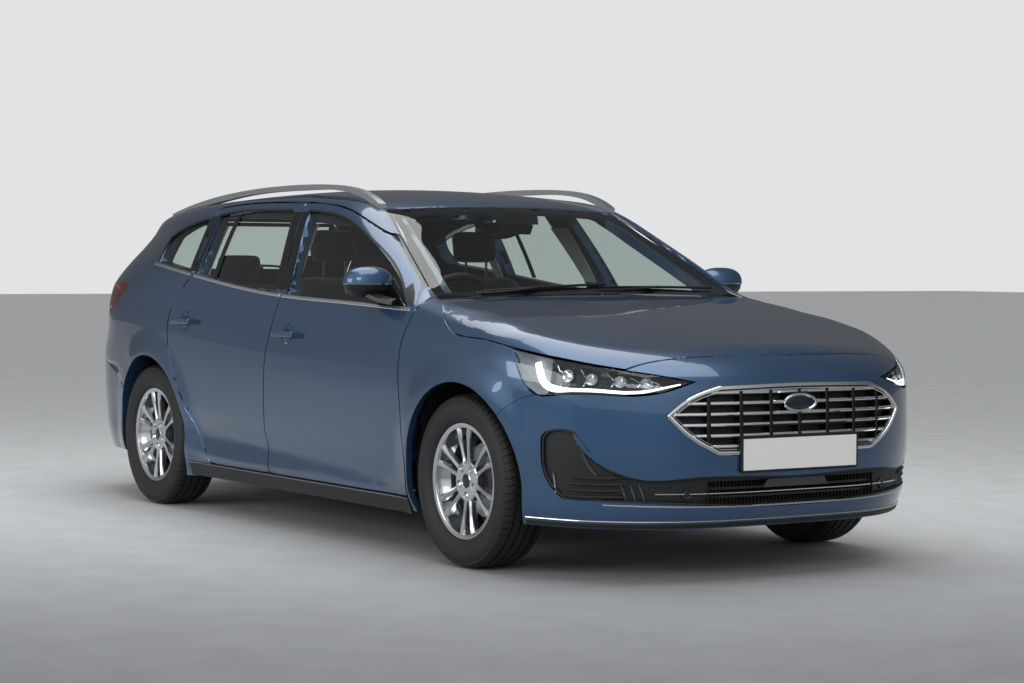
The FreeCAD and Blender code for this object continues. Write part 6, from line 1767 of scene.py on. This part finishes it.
@dataclass
class Pad:
    """One upholstered pad: a crowned closed form, puffed by a short cloth run, then seamed."""

    name: str
    centre: tuple[float, float, float]
    size: tuple[float, float, float]
    tilt: float = 0.0
    crown: float = 0.16
    bolster: float = 0.0
    channels: tuple[float, ...] = ()
    voxel: float = 12.0
    cap: float = 9.0

    def form(self) -> bpy.types.Mesh:
        """Make the slightly small starting shape about the origin."""
        length, width, thick = self.size
        rows = []
        turns = np.arange(64) * 2 * math.pi / 64
        cos, sin = np.cos(turns), np.sin(turns)
        square = 0.36
        x = np.sign(cos) * np.abs(cos) ** square
        y = np.sign(sin) * np.abs(sin) ** square
        for level in np.linspace(-math.pi / 2, math.pi / 2, 17):
            size = math.cos(level) ** 0.3
            z = math.copysign(abs(math.sin(level)) ** 0.8, math.sin(level))
            px, py = x * size, y * size
            pinch = (1 - 0.035 * (1 - np.abs(px)) * (np.abs(py) > 0.9)
                     - 0.035 * (1 - np.abs(py)) * (np.abs(px) > 0.9))
            height = z * (1 - self.crown * np.maximum(px ** 2, py ** 2))
            height = height + self.bolster * smooth(0.62, 0.95, np.abs(py)) * (z > 0) * z
            rows.append(np.column_stack([px * pinch * length / 2, py * pinch * width / 2, height * thick / 2]))
        return solid_mesh(self.name, np.concatenate(rows) * 0.97, grid_faces(17, 64, False, True), 60, 0.01)

    def puff(self, piece: bpy.types.Object) -> None:
        """Let pressure swell the pad a little, with its movement capped."""
        start = np.array([v.co for v in piece.data.vertices])
        cloth = piece.modifiers.new("cloth", "CLOTH")
        cloth.settings.use_pressure = True
        cloth.settings.uniform_pressure_force = 4.0
        cloth.settings.effector_weights.gravity = 0.0
        cloth.settings.quality = 4
        cloth.point_cache.frame_start, cloth.point_cache.frame_end = 1, 12
        scene = bpy.context.scene
        for step in range(1, 13):
            scene.frame_set(step)
        graph = bpy.context.evaluated_depsgraph_get()
        result = piece.evaluated_get(graph)
        grown = np.array([v.co for v in result.data.vertices])
        piece.modifiers.remove(cloth)
        scene.frame_set(1)
        move = grown - start
        size = np.maximum(np.linalg.norm(move, axis=1, keepdims=True), 1e-9)
        move *= np.minimum(1.0, self.cap * MM / size)
        piece.data.vertices.foreach_set("co", (start + move).ravel())

    def mesh(self) -> bpy.types.Mesh:
        """Return the finished pad, in its place."""
        piece = new_object(self.name + "_form", self.form())
        remesh = piece.modifiers.new("remesh", "REMESH")
        remesh.mode, remesh.voxel_size = "VOXEL", self.voxel * MM
        graph = bpy.context.evaluated_depsgraph_get()
        solid = bpy.data.meshes.new_from_object(piece.evaluated_get(graph))
        piece.modifiers.clear()
        piece.data = solid
        self.puff(piece)
        smoothing = piece.modifiers.new("smooth", "SUBSURF")
        smoothing.levels = smoothing.render_levels = 1
        graph = bpy.context.evaluated_depsgraph_get()
        solid = bpy.data.meshes.new_from_object(piece.evaluated_get(graph))
        bpy.data.objects.remove(piece)
        points = np.array([v.co for v in solid.vertices]) * 1000
        normals = np.array([v.normal for v in solid.vertices])
        face = np.clip(normals[:, 2], 0, 1)
        depth = np.zeros(len(points))
        for place_at in self.channels:
            depth += 7 * np.exp(-((points[:, 0] / self.size[0] - place_at) * self.size[0] / 7) ** 2)
        if self.bolster:
            depth += 8 * np.exp(-((np.abs(points[:, 1]) - self.size[1] * 0.32) / 6) ** 2)
        points -= normals * (depth * face)[:, None]
        solid.vertices.foreach_set("co", (points * MM).ravel())
        solid.transform(Matrix.Translation(Vector(self.centre) * MM)
                        @ Matrix.Rotation(math.radians(self.tilt), 4, "Y"))
        for polygon in solid.polygons:
            polygon.use_smooth = True
        return solid


@dataclass
class Cabin:
    """Seats, lining, pillar trims, and the screens on the dashboard."""

    seat_place: float = 372.0

    def pads(self) -> None:
        """Build the padded seats in place of the plain ones."""
        cloth, side_cloth = WovenCloth(), WovenCloth("141518", 1.6)
        front = [Pad("cushion", (68, 0, 432), (540, 490, 120), -4, bolster=0.32, channels=(-0.2, 0.1)),
                 Pad("backrest", (-335, 0, 770), (650, 490, 115), -107, bolster=0.36, channels=(-0.22, 0.0, 0.22)),
                 Pad("headrest", (-455, 0, 1196), (150, 236, 78), -100, channels=())]
        meshes = [(pad.name, pad.mesh(), pad.name == "headrest") for pad in front]
        first = True
        for side, label in SIDES:
            for name, mesh, plain in meshes:
                piece = put("front_%s_%s" % (name, label), moved(mesh, (0, side * self.seat_place * MM, 0)),
                            side_cloth if plain else cloth, BODY, ["front_seats"] if first else [])
                first = False
        rear = [Pad("bench", (-880, 0, 450), (430, 1180, 120), -5, channels=(0.05,)),
                Pad("rear_back_right", (-1190, -302, 760), (600, 590, 110), -112, channels=(-0.15, 0.15)),
                Pad("rear_back_left", (-1190, 302, 760), (600, 590, 110), -112, channels=(-0.15, 0.15))]
        rear += [Pad("rear_headrest_" + label, (-1318, y, 1096), (120, 230, 76), -102)
                 for label, y in (("right", -400), ("middle", 0), ("left", 400))]
        for i, pad in enumerate(rear):
            piece = put(pad.name, pad.mesh(), cloth, BODY, ["rear_seat"] if i == 0 else [])
        frames = []
        for x, y, z, high in [(-438, s * self.seat_place, 1060, 140) for s, _ in SIDES] + [
                (-1300, y, 980, 110) for y in (-400, 0, 400)]:
            for shift in (-55, 55):
                post = revolve("post", [(0, 0), (6, 1), (6, high - 1), (0, high)], 16)
                post.transform(Matrix.Translation(Vector((x, y + shift, z)) * MM)
                               @ Matrix.Rotation(math.radians(90), 4, "X"))
                frames.append(post)
        put("headrest_posts", joined("headrest_posts", frames), AnodisedAluminium("55585c"), BODY)
        plinths = []
        for side, _ in SIDES:
            corners = np.array([[(250, -190, 206), (250, 190, 206)], [(-150, -190, 206), (-150, 190, 206)]], float)
            top = corners + np.array([[(20, 0, 180), (20, 0, 180)], [(-20, 0, 160), (-20, 0, 160)]], float)
            plinths.append(moved(sheet("plinth", top, corners), (0, side * self.seat_place * MM, 0)))
        corners = np.array([[(-700, -540, 352), (-700, 540, 352)], [(-1060, -540, 352), (-1060, 540, 352)]], float)
        plinths.append(sheet("plinth", corners + np.array((0, 0, 60.0)), corners))
        put("seat_frames", joined("seat_frames", plinths), MouldedPlastic("161719"), BODY)

    def lining(self) -> None:
        """Hang the headliner and pillar trims in pale woven cloth."""
        pale = WovenCloth("d6d9d0", 1.4)
        xs = np.linspace(338, -1840, 50)
        flat = [(x, y) for x in xs for y in np.linspace(-545, 545, 19)]
        points = SKIN.top(flat).reshape(50, 19, 3)
        put("headliner", cover("headliner", points, -37, 40), pale, BODY)
        for side, label in SIDES:
            path = np.array([(395, side * 574, 1300), (526, side * 611, 1232), (705, side * 654, 1132),
                             (866, side * 692, 1046), (985, side * 720, 984)], float)
            front = sweep("pillar", path, np.tile((0.0, side * 1.0, 0.5), (5, 1)),
                          [(-26, -12), (-24, 4), (24, 4), (26, -12), (0, -20)])
            heights = np.linspace(985, 1318, 12)
            trims = [front]
            for ahead, behind in (((-8, 990, -92, 1330), (-86, 990, -232, 1330)),
                                  ((-850, 1080, -868, 1320), (-920, 1080, -936, 1320))):
                a = np.interp(heights, [ahead[1], ahead[3]], [ahead[0], ahead[2]])
                b = np.interp(heights, [behind[1], behind[3]], [behind[0], behind[2]])
                flat = between(np.column_stack([a, heights]), np.column_stack([b, heights]), 5)
                spot = SKIN.side([tuple(p) for p in flat.reshape(-1, 2)], side).reshape(12, 5, 3)
                trims.append(cover("trim", spot, -63, 67))
            put("pillar_trims_" + label, joined("pillar_trims_" + label, trims), pale, BODY)

    def fascia(self) -> None:
        """Mount the screens and the bright line on the dashboard."""
        slabs = []
        for y, wide, z0, z1, x in ((-372, 130, 905, 985, 706), (0, 165, 800, 925, 690)):
            low = np.array([[(x + 10, y - wide, z0), (x + 10, y + wide, z0)], [(x + 24, y - wide, z1),
                                                                            (x + 24, y + wide, z1)]], float)
            slabs.append(sheet("screen", low - np.array((14.0, 0, 0)), low))
        put("dash_screens", joined("dash_screens", slabs), GlossPlastic("0a0c10", 0.1), BODY)
        line = np.column_stack([np.full(40, 702.0), np.linspace(-690, 690, 40), np.full(40, 796.0)])
        put("dash_line", sweep("dash_line", line, np.tile((-1.0, 0.0, 0.0), (40, 1)),
                               [(-5, -6), (-5, 2), (0, 4), (5, 2), (5, -6)]), AnodisedAluminium(), BODY)

    def build(self) -> None:
        """Build the whole cabin."""
        self.pads()
        self.lining()
        self.fascia()


@dataclass
class Tail:
    """Rear valance, reflectors, tailgate trim, wiper, high brake light and exhaust tips."""

    def round_tail(self, z: float, spread: float = 74.0, count: int = 61) -> np.ndarray:
        """Return points at a height round the tail from right to left."""
        turns = np.radians(np.linspace(spread, -spread, count))
        ways = np.column_stack([-np.cos(turns), -np.sin(turns), np.zeros(count)])
        return SKIN.hit(np.tile((-1450.0, 0.0, z), (count, 1)), ways)

    def lamp_guides(self) -> None:
        """Lay the light guides and reversing lamps on the red lenses."""
        bar = [(-5, -2), (-5, 0.5), (-3, 1.3), (3, 1.3), (5, 0.5), (5, -2)]
        corners, hooks, whites = [], [], []
        for side, _ in SIDES:
            for line in (((-1640, 990), (-1760, 1008), (-1900, 1016), (-2040, 1018)),
                         ((-1760, 912), (-1850, 888), (-1950, 872), (-2040, 868))):
                corners.append(strip("bar", SKIN.side([tuple(p) for p in through(line, 30)], side), bar))
            hook = ((590, 1020), (500, 1006), (440, 986), (446, 920), (466, 892), (520, 880), (600, 872))
            hooks.append(strip("hook", SKIN.rear([(side * y, z) for y, z in through(hook, 60)]), bar))
            white = SKIN.rear([(side * y, 944) for y in np.linspace(480, 590, 15)])
            whites.append(strip("white", white, [(-15, -2), (-15, 0.3), (-13, 1), (13, 1), (15, 0.3), (15, -2)]))
        put("tail_lamp_guides", joined("tail_lamp_guides", corners), TintedLens("b3141c", 0.0))
        put("gate_lamp_guides", joined("gate_lamp_guides", hooks), TintedLens("b3141c", 0.0),
            "tailgate")
        put("reversing_lamps", joined("reversing_lamps", whites), GlossPlastic("c9cbcc", 0.1),
            "tailgate")

    def build(self) -> None:
        """Build everything on the tail."""
        rows = [self.round_tail(z, 46.0, 49) for z in (232, 250, 275, 300, 318)]
        points = np.stack(rows, axis=1)
        put("rear_valance", cover("rear_valance", points, 1.4, 3.0), MouldedPlastic("131415", 1.4, 0.5))
        put("valance_line", strip("valance_line", self.round_tail(324, 46.0, 49),
                                  [(-3, -2), (-3, 1.5), (0, 3), (3, 1.5), (3, -2)]),
            AnodisedAluminium())
        marks = []
        for side, _ in SIDES:
            line = SKIN.rear([(side * y, 352) for y in np.linspace(470, 620, 13)])
            marks.append(strip("reflector", line,
                               [(-11, -3), (-11, 0.5), (-9, 1.6), (9, 1.6), (11, 0.5), (11, -3)]))
        put("rear_reflectors", joined("rear_reflectors", marks), TintedLens())
        self.lamp_guides()
        tips = []
        for side, _ in SIDES:
            tip = revolve("tip", [(34, 0), (38, 2), (39, 8), (38, 70), (33, 70), (33, 6)], 48)
            tip.transform(Matrix.Translation(Vector((-2232, side * 480, 262)) * MM)
                          @ Matrix.Rotation(math.radians(-90), 4, "Z") @ Matrix.Diagonal((1.35, 1, 0.85, 1)))
            tips.append(tip)
        put("exhaust_tips", joined("exhaust_tips", tips), ChromePlate())
        gate = "tailgate"
        line = SKIN.rear([(y, 880) for y in np.linspace(-430, 430, 41)])
        put("gate_strip", strip("gate_strip", line, [(-9, -3), (-9, 1), (-6, 3.2), (6, 3.2), (9, 1), (9, -3)]),
            ChromePlate(), gate)
        frame_line = ring([[(505, 1072), (452, 1314)], [(452, 1314), (-452, 1314)], [(-452, 1314), (-505, 1072)],
                           [(-505, 1072), (505, 1072)]], 26)
        seal = SKIN.rear([tuple(p) for p in frame_line])
        put("gate_glass_border", strip("gate_glass_border", seal, [(-16, -5.8), (-16, -4.5), (16, -4.5), (16, -5.8)],
                                       True), GlossPlastic("070809"), gate)
        ys = np.linspace(10, 330, 21)
        blade = SKIN.rear([(y, 1092 + 10 * math.sin((y - 10) / 100)) for y in ys])
        arm = SKIN.rear([(y, 1078 + 0.05 * y) for y in np.linspace(0, 180, 11)])
        put("rear_wiper", joined("rear_wiper", [
            strip("blade", blade, [(-5, -5), (-5, 2), (0, 5), (5, 2), (5, -5)]),
            strip("arm", arm, [(-9, 2), (-8, 7), (0, 9), (8, 7), (9, 2)], taper=np.linspace(1.4, 0.7, 11))]),
            MouldedPlastic("101113", 1.2, 0.4), gate)
        line = SKIN.rear([(y, 1342) for y in np.linspace(-150, 150, 13)])
        put("high_brake_light", strip("high_brake_light", line, [(-6, -3), (-6, 0.6), (6, 0.6), (6, -3)]),
            TintedLens(), gate)


class PlainParts:
    """Pieces that keep their own shape and only get a finish."""

    finishes: dict[str, Finish] = {
        "quarter_glasses": WindowGlass(), "windscreen": WindowGlass(),
        "front_door_glass_right": WindowGlass(), "front_door_glass_left": WindowGlass(),
        "rear_door_glass_right": WindowGlass(), "rear_door_glass_left": WindowGlass(),
        "tailgate_glass": WindowGlass(), "lower_grille": MouldedPlastic(),
        "number_plate_front": MouldedPlastic("f1f1ef", 3.0, 0.35, 0.02),
        "number_plate_rear": MouldedPlastic("f1f1ef", 3.0, 0.35, 0.02), "tail_lamps": TintedLens(),
        "tailgate_lamps": TintedLens(), "cowl": MouldedPlastic(), "roof_rails": AnodisedAluminium(),
        "floor_pan": CastIron("2a2b2d"), "dashboard": MouldedPlastic("1b1c1e"), "engine_block": CastIron(),
        "front_frame": CastIron("1d1e20"),
        "radiator": CastIron("202123"), "control_arms": CastIron(), "rear_axle": CastIron(),
        "fuel_tank": MouldedPlastic(), "exhaust": AnodisedAluminium("8d8c88", 0.4),
        "steering_wheel": MouldedPlastic(), "knuckle_right": CastIron(), "knuckle_left": CastIron(),
    }

    def build(self) -> None:
        """Give each node its finish."""
        for name, finish in self.finishes.items():
            self.give(name, finish)

    @staticmethod
    def give(name: str, finish: Finish) -> None:
        """Put a finish on one node."""
        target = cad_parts[name]
        target.data.materials.clear()
        target.data.materials.append(finish.material())


def write_sizes() -> None:
    """Update the view layer."""
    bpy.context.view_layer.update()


def main() -> None:
    """Build the studio and the dressed car, in order."""
    logging.basicConfig(level=logging.INFO, format="%(name)s %(message)s")
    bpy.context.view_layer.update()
    studio = Studio()
    studio.camera()
    studio.build()
    Bodywork().build()
    PlainParts().build()
    for unit in (RoadWheel(), UpperGrille(), LowerFront(), Headlamp(), SideTrim(), DoorMirror(), Glazing(),
                 Cabin(), Tail()):
        unit.build()
    write_sizes()


if __name__ == "__main__":
    main()
